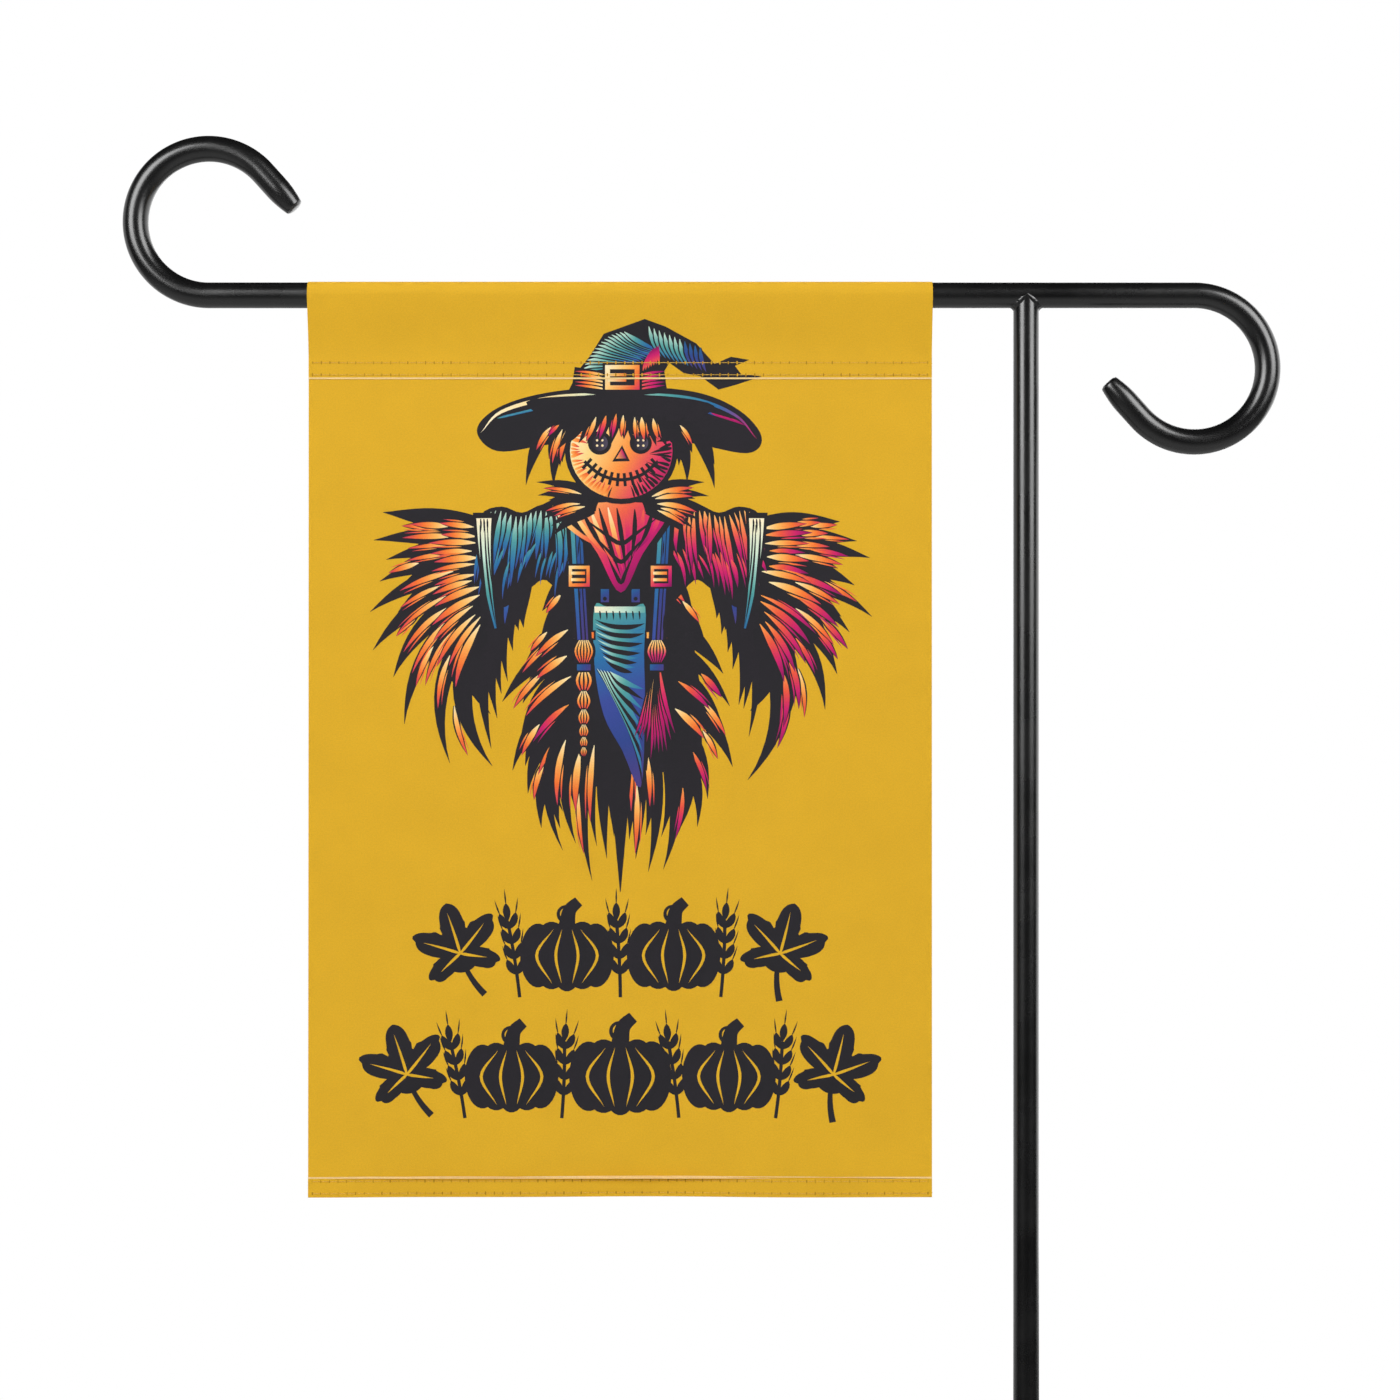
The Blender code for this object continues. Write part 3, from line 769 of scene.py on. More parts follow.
def visible_edges(verts, faces, owner):
    """The edges between faces of different marks, as segments."""
    sides = np.sort(np.vstack([faces[:, [0, 1]], faces[:, [1, 2]], faces[:, [2, 0]]]), axis=1)
    numbers = sides[:, 0] * len(verts) + sides[:, 1]
    order = np.argsort(numbers, kind="stable")
    numbers, face = numbers[order], np.tile(np.arange(len(faces)), 3)[order]
    shared = np.nonzero(numbers[1:] == numbers[:-1])[0]
    shared = shared[owner[face[shared]] != owner[face[shared + 1]]]
    pairs = sides[order[shared]]
    return [(verts[a], verts[b]) for a, b in pairs]


def flat_strip(marks):
    """Triangles of the flat strip whose edges follow the print that shows."""
    columns = np.linspace(-HALF, HALF, round(WIDTH / GRID) + 1)
    grid = [(x, s) for s in grid_rows() for x in columns]
    total = LENGTH[-1]
    rows = [0.0, CUT_BAND, total - CUT_BAND, *LENGTH[1:]]
    lines = [[(-HALF, s), (HALF, s)] for s in rows]
    lines += [[(x, 0.0), (x, total)] for x in (-HALF, HALF)]
    verts, faces = triangles([], lines + strip_edges(marks))
    outlines = visible_edges(verts, faces, owners(verts, faces, marks))
    return triangles(grid, lines + outlines)


def inside(points, ring):
    """Which points lie in a closed outline."""
    result = np.zeros(len(points), bool)
    x, z = points[:, 0], points[:, 1]
    for (ax, az), (bx, bz) in zip(ring, np.roll(ring, -1, axis=0)):
        if az == bz:
            continue
        crosses = (az > z) != (bz > z)
        result ^= crosses & (x < (bx - ax) * (z - az) / (bz - az) + ax)
    return result


def topmost(centres, marks):
    """The number of the highest mark over each point, or -1."""
    top = np.full(len(centres), -1)
    order = np.argsort(centres[:, 0])
    xs = centres[order, 0]
    for number, item in enumerate(marks):
        ring = item["outline"]
        low, high = ring.min(axis=0), ring.max(axis=0)
        picked = order[np.searchsorted(xs, low[0]) : np.searchsorted(xs, high[0])]
        picked = picked[(centres[picked, 1] >= low[1]) & (centres[picked, 1] <= high[1])]
        if len(picked):
            top[picked[inside(centres[picked], ring)]] = number
    return top


def linear(colour):
    colour = np.array(colour, float)
    return np.where(colour <= 0.04045, colour / 12.92, ((colour + 0.055) / 1.055) ** 2.4)


def corner_colours(corners, top, marks):
    """Linear colours for the three corners of each face."""
    colours = np.tile(linear(GOLD[0]), (len(top), 3, 1))
    for number in np.unique(top[top >= 0]):
        item = marks[number]
        picked = np.nonzero(top == number)[0]
        way = item["end"] - item["start"]
        t = ((corners[picked] - item["start"]) @ way) / max(way @ way, 1e-9)
        ramp = np.array(item["ramp"])
        stops = np.linspace(0, 1, len(ramp))
        shade = np.stack([np.interp(t, stops, ramp[:, k]) for k in range(3)], axis=-1)
        colours[picked] = linear(shade)
    return colours


def waves(x, z):
    """How far the hanging cloth stands off its plane, in millimetres."""
    depth = np.clip((SLEEVE_EDGE - z) / (SLEEVE_EDGE - BOTTOM), 0, 1)
    swell = 1.3 * np.sin(x / 41 + 0.6 + depth) + 0.7 * np.sin(x / 19 - 1.1 + 1.7 * depth)
    return depth**1.2 * (swell - 0.8 * depth * math.cos(1.1))


def hang(x, s):
    """Where a point of the flat strip is on the hanging flag, in the row frame."""
    y, z = np.interp(s, LENGTH, LINE[:, 0]), np.interp(s, LENGTH, LINE[:, 1])
    y = y + waves(x, z)
    return np.stack([x, y, z], axis=-1) * MM + np.array(BAR)


def flag_mesh(marks):
    """The hanging cloth, with the print as its corner colours and one material a side."""
    flat, faces = flat_strip(marks)
    top = tops(flat, faces, marks)
    places = flat[faces].mean(axis=1)[:, 1]
    corners = flat[faces].copy()
    corners[..., 1] = height_of(corners[..., 1])
    colours = corner_colours(corners, top, marks)
    cut = (places < CUT_BAND) | (places > LENGTH[-1] - CUT_BAND)
    colours[cut] = linear(CUT_EDGE[0])
    mesh = bpy.data.meshes.new("flag")
    mesh.from_pydata(hang(flat[:, 0], flat[:, 1]), [], faces.tolist())
    behind = (places > LENGTH[TOP_AT]) & (places < LENGTH[LOW_AT])
    mesh.polygons.foreach_set("material_index", np.where(behind, 0, 1).astype(np.int32))
    layer = mesh.color_attributes.new("print", "FLOAT_COLOR", "CORNER")
    rgba = np.ones((len(faces) * 3, 4), np.float32)
    rgba[:, :3] = colours.reshape(-1, 3)
    layer.data.foreach_set("color", rgba.ravel())
    place = mesh.attributes.new("strip_place", "FLOAT_VECTOR", "POINT")
    spots = np.zeros((len(flat), 3), np.float32)
    spots[:, :2] = flat * MM
    place.data.foreach_set("vector", spots.ravel())
    return mesh


# Metal. Meshes are made in metres, in the row frame.
SIDES = 64
BAR_TIP = 0.76  # radius of a tip, as a share of the tube's
WALL = 1.2 * MM
AXIS = 0.05 * MM  # radius of the small hole at the axis of a turned piece
BAR_MIDDLE = np.array([BAR_LOW.x + BAR_HIGH.x, BAR.y * 2, BAR.z * 2])  # twice the bar's middle


def mesh_object(name, mesh):
    piece = bpy.data.objects.new(name, mesh)
    bpy.context.scene.collection.objects.link(piece)
    return piece


def skin(name, rings, closed_loop=False):
    """A surface over rings of points, all with the same number of points."""
    count = len(rings[0])
    last = (len(rings) - 1) * count
    faces = []
    for row in range(len(rings) if closed_loop else len(rings) - 1):
        a, b = row * count, (row + 1) % len(rings) * count
        for k in range(count):
            n = (k + 1) % count
            faces.append((a + k, a + n, b + n, b + k))
    if not closed_loop:
        faces += [tuple(range(count))[::-1], tuple(range(last, last + count))]
    mesh = bpy.data.meshes.new(name)
    mesh.from_pydata(np.vstack(rings).tolist(), [], faces)
    shape = bmesh.new()
    shape.from_mesh(mesh)
    bmesh.ops.recalc_face_normals(shape, faces=shape.faces)
    shape.to_mesh(mesh)
    shape.free()
    smooth(mesh)
    return mesh_object(name, mesh)


def smooth(mesh, sharpest=40):
    mesh.shade_smooth()
    mesh.set_sharp_from_angle(angle=math.radians(sharpest))


def circle(count=SIDES):
    return unit(round_turn(count)).T


def sweep(name, points, radii):
    """A round bar along a path in the XZ plane."""
    points = np.array(points, float)
    tangent = np.gradient(points, axis=0)
    tangent /= np.linalg.norm(tangent, axis=1)[:, None]
    across = np.array([0, 1, 0])
    cos, sin = circle()
    rings = []
    for point, way, radius in zip(points, tangent, radii):
        side = np.cross(way, across)
        rings.append(point + radius * (cos[:, None] * across + sin[:, None] * side))
    return skin(name, rings)


def held(profile, near=0.5 * MM):
    """A profile with a point close to both ends of each long stretch, which keeps its shading flat."""
    result = [profile[0]]
    for a, b in zip(profile, profile[1:]):
        length = math.dist(a, b)
        if length > 8 * near:
            for share in (near / length, 1 - near / length):
                result.append((a[0] + (b[0] - a[0]) * share, a[1] + (b[1] - a[1]) * share))
        result.append(b)
    return result


def lathe(name, profile, centre=(0, 0, 0), way=(0, 0, 1), sides=SIDES):
    """A turned piece: (radius, height) pairs about an axis through centre."""
    turn = Vector(way).normalized().to_track_quat("Z", "Y")
    cos, sin = circle(sides)
    rings = []
    for radius, height in held(profile):
        ring = [Vector((radius * c, radius * s, height)) for c, s in zip(cos, sin)]
        rings.append([list(turn @ point + Vector(centre)) for point in ring])
    return skin(name, rings)


def half_bar_path():
    """The scroll at the bar's left: its bend and its straight tail, with the radii and the tip's way."""
    sweep_angle, steps = math.radians(228), 76
    tail, taper = 22 * MM, 12 * MM
    centre = np.array([BAR_LOW.x + BEND + TUBE, BAR.y, BAR.z + BEND])
    points, radii = [], []
    for step in range(steps + 1):
        angle = -math.pi / 2 - sweep_angle * step / steps
        points.append(centre + BEND * np.array([math.cos(angle), 0, math.sin(angle)]))
        radii.append(TUBE)
    way = np.array([-math.cos(sweep_angle), 0, math.sin(sweep_angle)])
    start = points[-1]
    shoulder = 0.9 * MM
    tip_radius = TUBE * BAR_TIP
    for share in np.linspace(0, 1, 16)[1:]:
        reach = tail * share
        t = max(0, (reach - (tail - taper)) / taper)
        points.append(start + way * reach)
        radii.append(TUBE - (TUBE - tip_radius) * t**1.8)
    for share in (0.5, 0.85, 1.0):
        turn = share * math.pi / 2
        points.append(start + way * (tail + shoulder * math.sin(turn)))
        radii.append(tip_radius - shoulder * (1 - math.cos(turn)))
    return np.array(points), radii, way


def bar_piece():
    """The bent tube. The hook is the scroll turned by half a turn about the bar's middle."""
    points, radii, _ = half_bar_path()
    hook = BAR_MIDDLE - points
    straight = np.linspace(points[0], hook[0], 12)[1:-1]
    line = np.vstack([points[::-1], straight, hook])
    return sweep("hanger_tube", line, [*radii[::-1], *[TUBE] * len(straight), *radii])


def tip_plugs():
    points, radii, way = half_bar_path()
    radius = radii[-1] - 0.1 * MM
    rows = ((0.6, 0.5), (0.86, 0.36), (0.96, 0.16), (1, 0), (1, -2))
    profile = [(0.01 * MM, 0.55 * MM), *((radius * share, rise * MM) for share, rise in rows)]
    spots = (("scroll_tip_plug", points[-1], way), ("hook_tip_plug", BAR_MIDDLE - points[-1], -way))
    return [lathe(name, profile, place, facing) for name, place, facing in spots]


def saddle(angle, radius=TUBE):
    """A point where the pole's wall meets the cross tube's."""
    x, y = math.cos(angle) * radius, math.sin(angle) * radius
    return np.array([x, y, -abs(x)])


def tube_end(z, way):
    """A tube's open end at height z, from the bore to the outside. The tube runs on along way."""
    bore = TUBE - WALL
    steps = [(bore, 60), (bore, 0.3), (bore + 0.3 * MM, 0)]
    steps += [(TUBE - 0.5 * MM, 0), (TUBE - 0.15 * MM, 0.15), (TUBE, 0.5)]
    return [(radius, z + way * rise * MM) for radius, rise in steps]


def upper_pole():
    """A tube whose top end is cut to sit round the cross tube."""
    around = 96
    cos, sin = circle(around)
    profile = tube_end(POLE_LOW.z, 1) + [(TUBE, POLE_LOW.z + 1 * MM)]
    rings = [np.stack([r * cos, r * sin, np.full(around, z)], axis=1) for r, z in profile]
    for radius in (TUBE, TUBE * 0.9):
        rings.append(np.array([saddle(angle, radius) for angle in round_turn(around)]) + (0, 0, BAR.z))
    return skin("upper_pole_tube", rings)


def saddle_weld():
    """The bead round the joint: a fillet in the corners and a low ridge over the sides."""
    around, rows = 240, 9
    leg, height = 1.5 * MM, 0.34 * MM
    rings = []
    for step in range(around):
        angle = 2 * math.pi * step / around
        corner = saddle(angle)
        side = max(-1.0, min(1.0, math.cos(angle) / 0.22))
        ripple = 1 + 0.07 * math.sin(step * math.pi / 5) + 0.03 * math.sin(step * 0.71)
        on_pole = corner + np.array([0, 0, -leg * ripple])
        spread = leg * ripple * side
        on_bar = corner + np.array([spread, 0, leg * 0.35 * (1 - abs(side))])
        out = np.array([math.cos(angle), 1.6 * math.sin(angle), -abs(math.cos(angle))])
        out /= np.linalg.norm(out)
        ring = []
        for t in np.linspace(0, 1, rows):
            point = (1 - t) ** 2 * on_pole + 2 * t * (1 - t) * corner + t**2 * on_bar
            ring.append(point + out * height * ripple * math.sin(math.pi * t) ** 0.8)
        ring += [on_bar - out * 1.2 * MM, on_pole - out * 1.2 * MM]
        rings.append(np.array(ring) + (0, 0, BAR.z))
    return skin("hanger_weld_bead", rings, closed_loop=True)


def lower_pole():
    low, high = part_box("lower_pole")
    profile = tube_end(high.z, -1) + [(TUBE, low.z + 0.5 * MM), (TUBE - 0.3 * MM, low.z)]
    return lathe("lower_pole_tube", profile)


def connector():
    """The pin between the two poles, with the collar that the upper one stands on."""
    low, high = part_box("pole_connector")
    pin = TUBE - 1.55 * MM
    base = JOINT.z + 0.3 * MM
    collar_rows = ((pin, 3), (TUBE - 0.4 * MM, 3), (TUBE, 2.6), (TUBE, 0.4), (TUBE - 0.4 * MM, 0), (pin, 0))
    profile = [(AXIS, high.z), (pin - 1.2 * MM, high.z)]
    profile += [(pin - 0.3 * MM, high.z - 0.6 * MM), (pin, high.z - 1.4 * MM)]
    profile += [(radius, base + rise * MM) for radius, rise in collar_rows]
    profile += [(pin, low.z + 1.2 * MM), (pin - 1.2 * MM, low.z), (AXIS, low.z)]
    return lathe("connector_pin", profile)


def stake_point():
    """A plug in the pole's foot that tapers to the stake's tip."""
    low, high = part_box("stake_point")
    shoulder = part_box("lower_pole")[0].z - 0.3 * MM
    plug = TUBE - 1.6 * MM
    profile = [(AXIS, high.z), (plug, high.z), (plug, shoulder), (TUBE - 0.2 * MM, shoulder)]
    for radius, drop in ((TUBE, 0.3), (TUBE, 1.6), (TUBE * 0.93, 3.5)):
        profile.append((radius, shoulder - drop * MM))
    profile.append((TUBE * 0.5, (shoulder + low.z) / 2 - 2 * MM))
    for radius, rise in ((0.9, 1.4), (0.5, 0.3), (0.05, 0)):
        profile.append((radius * MM, low.z + rise * MM))
    return lathe("stake_tip", profile)


def prong(side):
    """A round rod that tapers to a point."""
    low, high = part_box(f"{side}_prong")
    x, radius = (low.x + high.x) / 2, (high.x - low.x) / 2
    shoulder = low.z + 20 * MM
    profile = [(AXIS, high.z)]
    for share, drop in ((0.7, 0.05), (0.93, 0.35), (1, 1.0)):
        profile.append((radius * share, high.z - drop * MM))
    profile += [(radius, shoulder), (radius * 0.92, shoulder - 3 * MM)]
    profile.append((radius * 0.45, (shoulder + low.z) / 2 - 2 * MM))
    for blunt, rise in ((0.7, 1.2), (0.4, 0.2), (0.05, 0)):
        profile.append((blunt * MM, low.z + rise * MM))
    return lathe(f"{side}_prong_rod", profile, (x, 0, 0), sides=48)


def ring_weld(node):
    """A rippled fillet round a rod where it meets the step plate."""
    low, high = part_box(node)
    x, outer, height = (low.x + high.x) / 2, (high.x - low.x) / 2, high.z - low.z
    inner = outer - 2.3 * MM
    shape = [(-0.3, -0.3 * MM), (-0.3, height), (0.5, height * 0.86), (1.2, height * 0.58)]
    shape += [(1.8, height * 0.25), (2.2, 0), (2.2, -0.3 * MM)]
    around, rings = 96, []
    for step in range(around):
        angle = 2 * math.pi * step / around
        ripple = 1 + 0.1 * math.sin(step * 2 * math.pi / 6) + 0.04 * math.sin(step * 1.3)
        ring = []
        for out, rise in shape:
            spread = inner + out * MM * ripple
            ring.append((x + spread * math.cos(angle), spread * math.sin(angle), low.z + rise * ripple))
        rings.append(ring)
    return skin(f"{node}_bead", rings, closed_loop=True)


def step_plate():
    low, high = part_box("step_plate")
    shape = bmesh.new()
    bmesh.ops.create_cube(shape, size=1.0)
    bmesh.ops.scale(shape, vec=high - low, verts=shape.verts)
    bmesh.ops.translate(shape, vec=(low + high) / 2, verts=shape.verts)
    tall = [e for e in shape.edges if abs(e.verts[0].co.z - e.verts[1].co.z) > MM]
    bmesh.ops.bevel(shape, geom=tall, offset=6 * MM, segments=10, profile=0.5, affect="EDGES")
    rims = [e for e in shape.edges if abs(e.verts[0].co.z - e.verts[1].co.z) < 0.01 * MM]
    bmesh.ops.bevel(shape, geom=rims, offset=0.7 * MM, segments=3, profile=0.5, affect="EDGES")
    mesh = bpy.data.meshes.new("step_bar")
    shape.to_mesh(mesh)
    shape.free()
    smooth(mesh, 35)
    return mesh_object("step_bar", mesh)


# Materials.
THREAD_PITCH = 0.42 * MM


def plug(tree, socket, value):
    """Give a socket a value, or link it to another socket."""
    if isinstance(value, bpy.types.NodeSocket):
        tree.links.new(value, socket)
    else:
        socket.default_value = value


def node(tree, kind, **values):
    """A shader node. Names with a leading capital are sockets, others are settings."""
    item = tree.nodes.new(f"ShaderNode{kind}")
    for key, value in values.items():
        if key[0].isupper():
            plug(tree, item.inputs[key.replace("_", " ")], value)
        else:
            setattr(item, key, value)
    return item


def math_node(tree, operation, first, second=0.0):
    item = node(tree, "Math", operation=operation)
    plug(tree, item.inputs[0], first)
    plug(tree, item.inputs[1], second)
    return item.outputs[0]


def mix_colour(tree, factor, first, second, blend="MIX"):
    item = node(tree, "Mix", data_type="RGBA", blend_type=blend)
    for number, value in ((0, factor), (6, first), (7, second)):
        plug(tree, item.inputs[number], (*value, 1.0) if isinstance(value, tuple) else value)
    return item.outputs[2]


def new_material(name, roughness, specular=0.5):
    material = bpy.data.materials.new(name)
    material.use_nodes = True
    tree = material.node_tree
    shader = tree.nodes["Principled BSDF"]
    shader.inputs["Roughness"].default_value = roughness
    shader.inputs["Specular IOR Level"].default_value = specular
    return material, tree, shader


def ranged(tree, value, low, high, start=0.3, stop=0.7):
    item = node(tree, "MapRange", Value=value, From_Min=start, From_Max=stop, To_Min=low, To_Max=high)
    return item.outputs["Result"]


def noise(tree, place, scale, detail, **more):
    return node(tree, "TexNoise", Vector=place, Scale=scale, Detail=detail, **more).outputs["Fac"]


def clouded(tree, fac, first, second):
    """A colour that drifts between two with a noise."""
    return mix_colour(tree, ranged(tree, fac, 0, 1), first, second)


def dress(tree, shader, colour, height=None, strength=0.0, distance=0.0):
    """Give a shader its colour and, where there is a height, its relief."""
    plug(tree, shader.inputs["Base Color"], colour)
    if height:
        bump = node(tree, "Bump", Strength=strength, Distance=distance, Height=height)
        plug(tree, shader.inputs["Normal"], bump.outputs["Normal"])


def black_paint(name, roughness=0.255, peel=0.011, tone=0.0032):
    """Sprayed gloss black: a faint orange peel, and patches that are a little duller."""
    material, tree, shader = new_material(name, roughness)
    place = node(tree, "TexCoord").outputs["Object"]
    grain = noise(tree, place, 620.0, 2.0, Roughness=0.5)
    cloud = noise(tree, place, 38.0, 4.0, Roughness=0.6)
    specks = noise(tree, place, 2600.0, 1.0)
    plug(tree, shader.inputs["Roughness"], ranged(tree, cloud, roughness * 0.9, roughness * 1.2))
    shades = [(tone * share, tone * share, tone * (share + 0.05)) for share in (0.8, 1.5)]
    dust = ranged(tree, specks, 0, 0.004, 0.7, 0.85)
    colour = mix_colour(tree, dust, clouded(tree, cloud, *shades), (0.5, 0.5, 0.5))
    dress(tree, shader, colour, grain, peel, 0.00012)
    return material


def plastic(name):
    material, tree, shader = new_material(name, 0.32)
    place = node(tree, "TexCoord").outputs["Object"]
    cloud = noise(tree, place, 300.0, 2.0)
    colour = clouded(tree, cloud, (0.02, 0.02, 0.021), (0.035, 0.035, 0.036))
    dress(tree, shader, colour, noise(tree, place, 1500.0, 2.0), 0.2, 0.00006)
    return material


def weave(tree, place):
    """A plain weave's height, from the place on the flat strip."""
    parts = node(tree, "SeparateXYZ", Vector=place).outputs
    turns = [math_node(tree, "MULTIPLY", parts[axis], math.pi / THREAD_PITCH) for axis in (0, 1)]
    return math_node(tree, "MULTIPLY", *[math_node(tree, "SINE", turn) for turn in turns])


def cloth(name, paler):
    """Printed woven polyester. The back shows the print through the cloth, a little paler. The weave's
    hollows carry painted shade.
    """
    material, tree, shader = new_material(name, 0.8, 0.06)
    shader.inputs["Sheen Weight"].default_value = 0.015
    place = node(tree, "Attribute", attribute_name="strip_place").outputs["Vector"]
    ink = node(tree, "Attribute", attribute_name="print").outputs["Color"]
    cloud = noise(tree, place, 26.0, 3.0, Roughness=0.6)
    fibre = noise(tree, place, 1400.0, 2.0)
    height = weave(tree, place)
    colour = mix_colour(tree, paler, ink, tuple(linear(GOLD[0]))) if paler else ink
    tint = ranged(tree, cloud, 0.965, 1.02)
    grain = ranged(tree, fibre, 0.94, 1.05)
    # Painted shade: the colour darkens where the weave is low and lightens where it is high, along with its
    # bump.
    relief = ranged(tree, height, 0.955, 1.02, -1, 1)
    shade = math_node(tree, "MULTIPLY", math_node(tree, "MULTIPLY", tint, grain), relief)
    plug(tree, shader.inputs["Roughness"], ranged(tree, fibre, 0.64, 0.8))
    dress(tree, shader, mix_colour(tree, 1.0, colour, shade, "MULTIPLY"), height, 0.35, 0.00006)
    return material


def cut_cloth():
    material, tree, shader = new_material("cut_edge_fibres", 0.85, 0.2)
    fibre = noise(tree, node(tree, "TexCoord").outputs["Object"], 2200.0, 3.0)
    dress(tree, shader, clouded(tree, fibre, (0.8, 0.6, 0.25), (0.9, 0.76, 0.46)))
    return material


def thread_material():
    material, tree, shader = new_material("sewing_thread", 0.5, 0.35)
    shader.inputs["Sheen Weight"].default_value = 0.2
    place = node(tree, "TexCoord").outputs["Object"]
    twist = node(tree, "TexWave", Vector=place, Scale=420.0, bands_direction="DIAGONAL").outputs["Fac"]
    # Painted shade: the thread is coloured darker in the grooves of its twist, along the same bands as its
    # bump.
    colour = mix_colour(tree, twist, (0.6, 0.34, 0.02), (0.76, 0.45, 0.035))
    dress(tree, shader, colour, twist, 0.5, 0.00005)
    return material


def floor_material():
    material, tree, shader = new_material("pale_floor", 0.9, 0.1)
    cloud = noise(tree, node(tree, "TexCoord").outputs["Object"], 4.0, 3.0)
    dress(tree, shader, clouded(tree, cloud, (0.86, 0.86, 0.85), (0.9, 0.9, 0.89)))
    return material


# Studio.
CAMERA_PLACE = BAR + Vector((38.9, -1366, -197.4)) * MM
TARGET = Vector((BAR.x, 0, BAR.z - 0.2))


def make_camera():
    camera = bpy.data.objects.new("camera", bpy.data.cameras.new("camera"))
    bpy.context.scene.collection.objects.link(camera)
    camera.data.lens = 72
    camera.data.sensor_width = 36
    camera.data.clip_start = 0.01
    camera.location = CAMERA_PLACE
    camera.rotation_euler = (math.pi / 2, 0, 0)
    bpy.context.scene.camera = camera


def panel_light(name, azimuth, elevation, size, radiance, distance=2.4, glossy=True, diffuse=True):
    """A flat light that faces the object. Azimuth 0 is in front, and it grows towards +X."""
    turn, rise = math.radians(azimuth), math.radians(elevation)
    way = Vector((math.sin(turn) * math.cos(rise), -math.cos(turn) * math.cos(rise), math.sin(rise)))
    data = bpy.data.lights.new(name, "AREA")
    data.shape = "RECTANGLE"
    data.size, data.size_y = size
    data.energy = radiance * math.pi * size[0] * size[1]
    light = bpy.data.objects.new(name, data)
    bpy.context.scene.collection.objects.link(light)
    light.location = TARGET + way * distance
    light.rotation_euler = way.to_track_quat("Z", "Y").to_euler()
    light.visible_camera = False
    light.visible_glossy = glossy
    light.visible_diffuse = diffuse


def make_world():
    """White where the camera looks past the object, and a dim grey room for the rest."""
    world = bpy.data.worlds.new("studio")
    bpy.context.scene.world = world
    world.use_nodes = True
    tree = world.node_tree
    output = tree.nodes["World Output"]
    room = tree.nodes["Background"]
    way = node(tree, "TexCoord").outputs["Generated"]
    height = node(tree, "SeparateXYZ", Vector=way).outputs["Z"]
    plug(tree, room.inputs["Color"], ranged(tree, height, 0.75, 0.02, -0.75, -0.28))
    white = node(tree, "Background", Color=(1, 1, 1, 1), Strength=1.0)
    seen = node(tree, "LightPath").outputs["Is Camera Ray"]
    mix = node(tree, "MixShader")
    for socket, source in zip(mix.inputs, (seen, room.outputs[0], white.outputs[0])):
        plug(tree, socket, source)
    plug(tree, output.inputs["Surface"], mix.outputs[0])


def make_lights():
    shown = {"diffuse": False}
    panel_light("strip_left", -38, 21.5, (1.35, 1.5), 12.4, **shown)
    panel_light("strip_right", 48.5, 24.3, (1.4, 1.8), 10.6, **shown)
    panel_light("rim_left", -138, 4, (4.6, 2.4), 1.0, **shown)
    panel_light("rim_right", 138, 9, (4.6, 2.4), 2.3, **shown)
    hidden = {"glossy": False}
    panel_light("key", -24, 26, (2.2, 2.2), 4.08, 2.8, **hidden)
    panel_light("fill", 38, 8, (2.0, 2.6), 1.58, 2.8, **hidden)
    panel_light("back_fill", 165, 22, (2.4, 2.4), 3.7, 2.8, **hidden)
    panel_light("top", 0, 90, (3.0, 3.0), 1.5, 2.6, **hidden)


def make_floor():
    place = (BAR.x, 0, cad_low.z - 0.5 * MM)
    bpy.ops.mesh.primitive_circle_add(vertices=128, radius=1.3, fill_type="NGON", location=place)
    floor = bpy.context.object
    floor.name = "floor"
    floor.visible_glossy = False  # the black paint mirrors the dim room, not the bright floor
    floor.data.materials.append(floor_material())


def settle(piece, body, material, slot, *nodes):
    """A piece takes its material, moves with its body and stands for its CAD nodes."""
    piece.data.materials.append(material)
    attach(piece, body)
    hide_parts(*nodes)


def make_metal():
    paint = black_paint("gloss_black_paint")
    bead = black_paint("painted_weld", 0.28, 0.1, 0.004)
    cap = plastic("black_plastic")
    settle(bar_piece(), "hanger", paint, "black_paint", "hanger_bar")
    settle(upper_pole(), "hanger", paint, "black_paint", "upper_pole")
    settle(saddle_weld(), "hanger", bead, "weld_paint", "hanger_weld")
    for piece, name in zip(tip_plugs(), ("scroll_end_plug", "hook_end_plug")):
        settle(piece, "hanger", cap, "plug_plastic", name)
    settle(connector(), "connector", paint, "black_paint", "pole_connector")
    settle(lower_pole(), "stake", paint, "black_paint", "lower_pole")
    settle(stake_point(), "stake", paint, "black_paint", "stake_point")
    settle(step_plate(), "stake", paint, "black_paint", "step_plate")
    for side in ("left", "right"):
        settle(prong(side), "stake", paint, "black_paint", f"{side}_prong")
        settle(ring_weld(f"{side}_prong_weld"), "stake", bead, "weld_paint", f"{side}_prong_weld")
    settle(ring_weld("pole_plate_weld"), "stake", bead, "weld_paint", "pole_plate_weld")


# Stitches. Lengths are in millimetres.
THREAD = 0.17  # radius of a needle thread
ARCH = 0.16  # how far a stitch stands off the cloth
GAP = 0.35  # from a hole to the end of a stitch
LOOPER = 0.16  # radius of the thread on the back


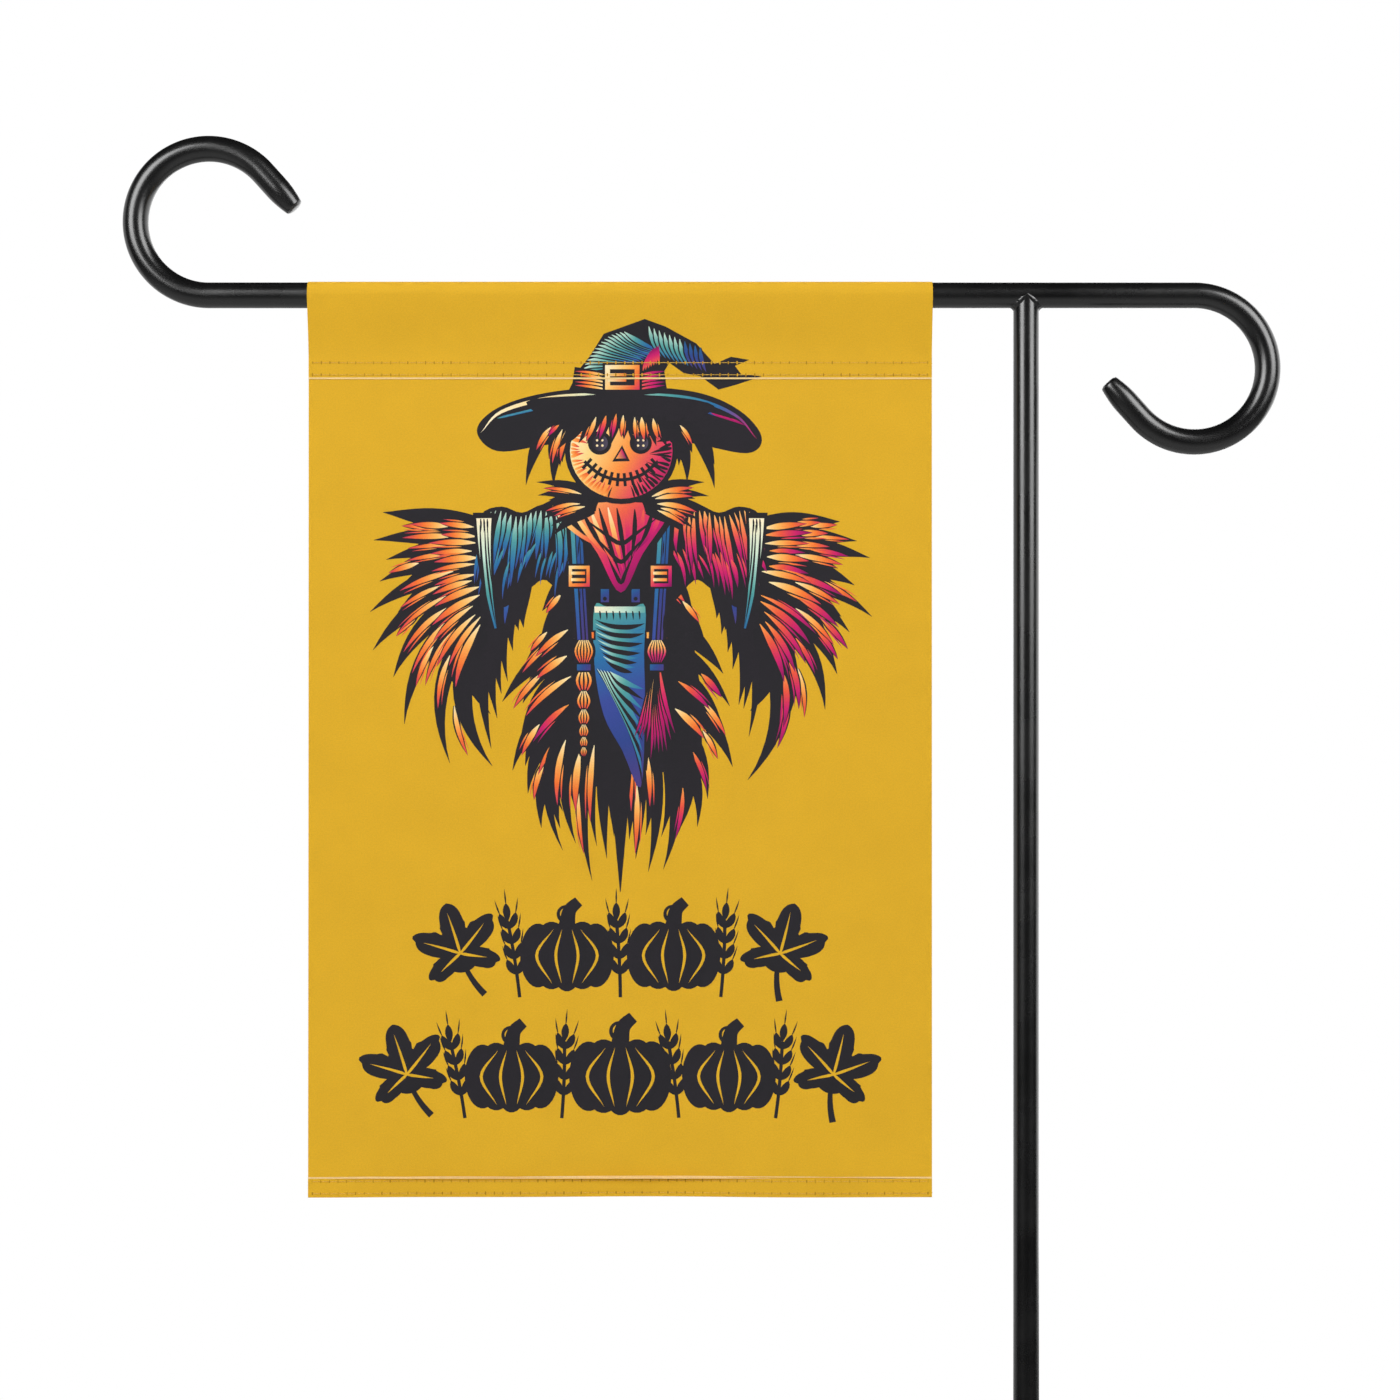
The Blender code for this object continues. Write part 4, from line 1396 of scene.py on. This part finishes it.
def stitch_row(name, z, y_of, first, last):
    """Straight stitches from hole to hole, each a short arch of thread."""
    count = round((last - first) / STITCH)
    pitch = (last - first) / count
    sides, spans = 6, 6
    verts, faces = [], []
    for index in range(count):
        left = first + index * pitch + GAP
        for span in range(spans + 1):
            t = span / spans
            x = left + (pitch - 2 * GAP) * t
            lift = ARCH * math.sin(math.pi * t)
            squeeze = 0.35 + 0.65 * math.sin(math.pi * min(max(t, 0.04), 0.96)) ** 0.4
            centre = hang_front(x, z, y_of, lift)
            for side in range(sides):
                turn = 2 * math.pi * side / sides
                verts.append(centre + np.array([0, math.cos(turn), math.sin(turn)]) * THREAD * squeeze * MM)
        base = index * (spans + 1) * sides
        for span in range(spans):
            for side in range(sides):
                a, b = base + span * sides + side, base + span * sides + (side + 1) % sides
                faces.append((a, b, b + sides, a + sides))
        faces.append(tuple(base + k for k in range(sides))[::-1])
        faces.append(tuple(base + spans * sides + k for k in range(sides)))
    mesh = bpy.data.meshes.new(name)
    mesh.from_pydata(verts, [], faces)
    smooth(mesh, 60)
    return mesh_object(name, mesh)


def hang_front(x, z, y_of, lift):
    """A point just off the face of the cloth. y_of is the layer, and lift goes outward from it."""
    way = -1 if y_of < 0 else 1
    y = y_of + waves(np.array(x), np.array(z)) + way * lift
    return np.array([x, float(y), z]) * MM + np.array(BAR)


def looper_row(name, rows, y_of, first, last):
    """The thread on the back, which crosses from one row of holes to the other."""
    count = round((last - first) / STITCH)
    pitch = (last - first) / count
    middle = (rows[0] + rows[1]) / 2
    path = ((0, rows[0], 0.02), (0.25, middle, 0.14), (0.5, rows[1], 0.02), (0.75, middle, 0.14))
    points = []
    for index in range(count + 1):
        for share, z, lift in path:
            points.append(hang_front(first + (index + share) * pitch, z, y_of, lift))
    points.pop()
    curve = bpy.data.curves.new(name, "CURVE")
    curve.dimensions = "3D"
    curve.bevel_depth = LOOPER * MM
    curve.bevel_resolution = 1
    curve.use_fill_caps = True
    line = curve.splines.new("POLY")
    line.points.add(len(points) - 1)
    for spot, point in zip(line.points, points):
        spot.co = (*point, 1)
    guide = bpy.data.objects.new(f"{name}_guide", curve)
    mesh = bpy.data.meshes.new_from_object(guide)
    bpy.data.objects.remove(guide)
    smooth(mesh, 60)
    return mesh_object(name, mesh)


def make_stitches():
    thread = thread_material()
    first, last = SEAM_END - HALF, HALF - SEAM_END
    face_front = -LAYER - CLOTH / 2 - 0.08
    face_back = CLOTH / 2 + 0.1
    seams = (("sleeve", "flag_header", SLEEVE_EDGE, 1), ("hem", "flag_drop", HEM_EDGE, -1))
    for seam, body, edge, way in seams:
        rows = [edge + way * row for row in NEEDLE_ROWS]
        names = ("lower", "upper") if way > 0 else ("upper", "lower")
        for name, z in zip(names, rows):
            piece = stitch_row(f"{seam}_stitches_{name}", z, face_front, first, last)
            settle(piece, body, thread, "gold_thread", f"{seam}_needle_thread_{name}")
        piece = looper_row(f"{seam}_looper_stitches", rows, face_back, first, last)
        settle(piece, body, thread, "gold_thread", f"{seam}_looper_thread")


def make_flag():
    random.seed(PRINT_SEED)
    marks = [*scarecrow(), *harvest_rows()]
    for edge, way in ((SLEEVE_EDGE, 1), (HEM_EDGE, -1)):
        for row in NEEDLE_ROWS:
            marks += needle_hole_shades(edge + way * row, HALF - SEAM_END)
    flag = mesh_object("flag_cloth", flag_mesh(marks))
    face, back = cloth("printed_cloth", 0.0), cloth("printed_cloth_back", 0.3)
    for material in (face, back, face, cut_cloth()):
        flag.data.materials.append(material)
    thick = flag.modifiers.new("thickness", "SOLIDIFY")
    thick.thickness = CLOTH * MM
    thick.offset = 0
    thick.material_offset = 1
    thick.material_offset_rim = 3
    with bpy.context.temp_override(object=flag, active_object=flag, selected_objects=[flag]):
        bpy.ops.object.modifier_apply(modifier=thick.name)
    smooth(flag.data, 50)
    layers = ("flag_sleeve_loop", "flag_header_back", "flag_header_front", "flag_panel", "flag_bottom_hem")
    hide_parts(*layers)
    top, bottom = (FOLD + Vector((0, 0, rise * MM)) for rise in (1, -16))
    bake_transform(flag)
    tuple(top)
    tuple(bottom)


def main():
    scene = bpy.context.scene
    scene.view_settings.view_transform = "Standard"
    make_camera()
    make_world()
    make_lights()
    make_floor()
    make_metal()
    make_flag()
    make_stitches()


main()
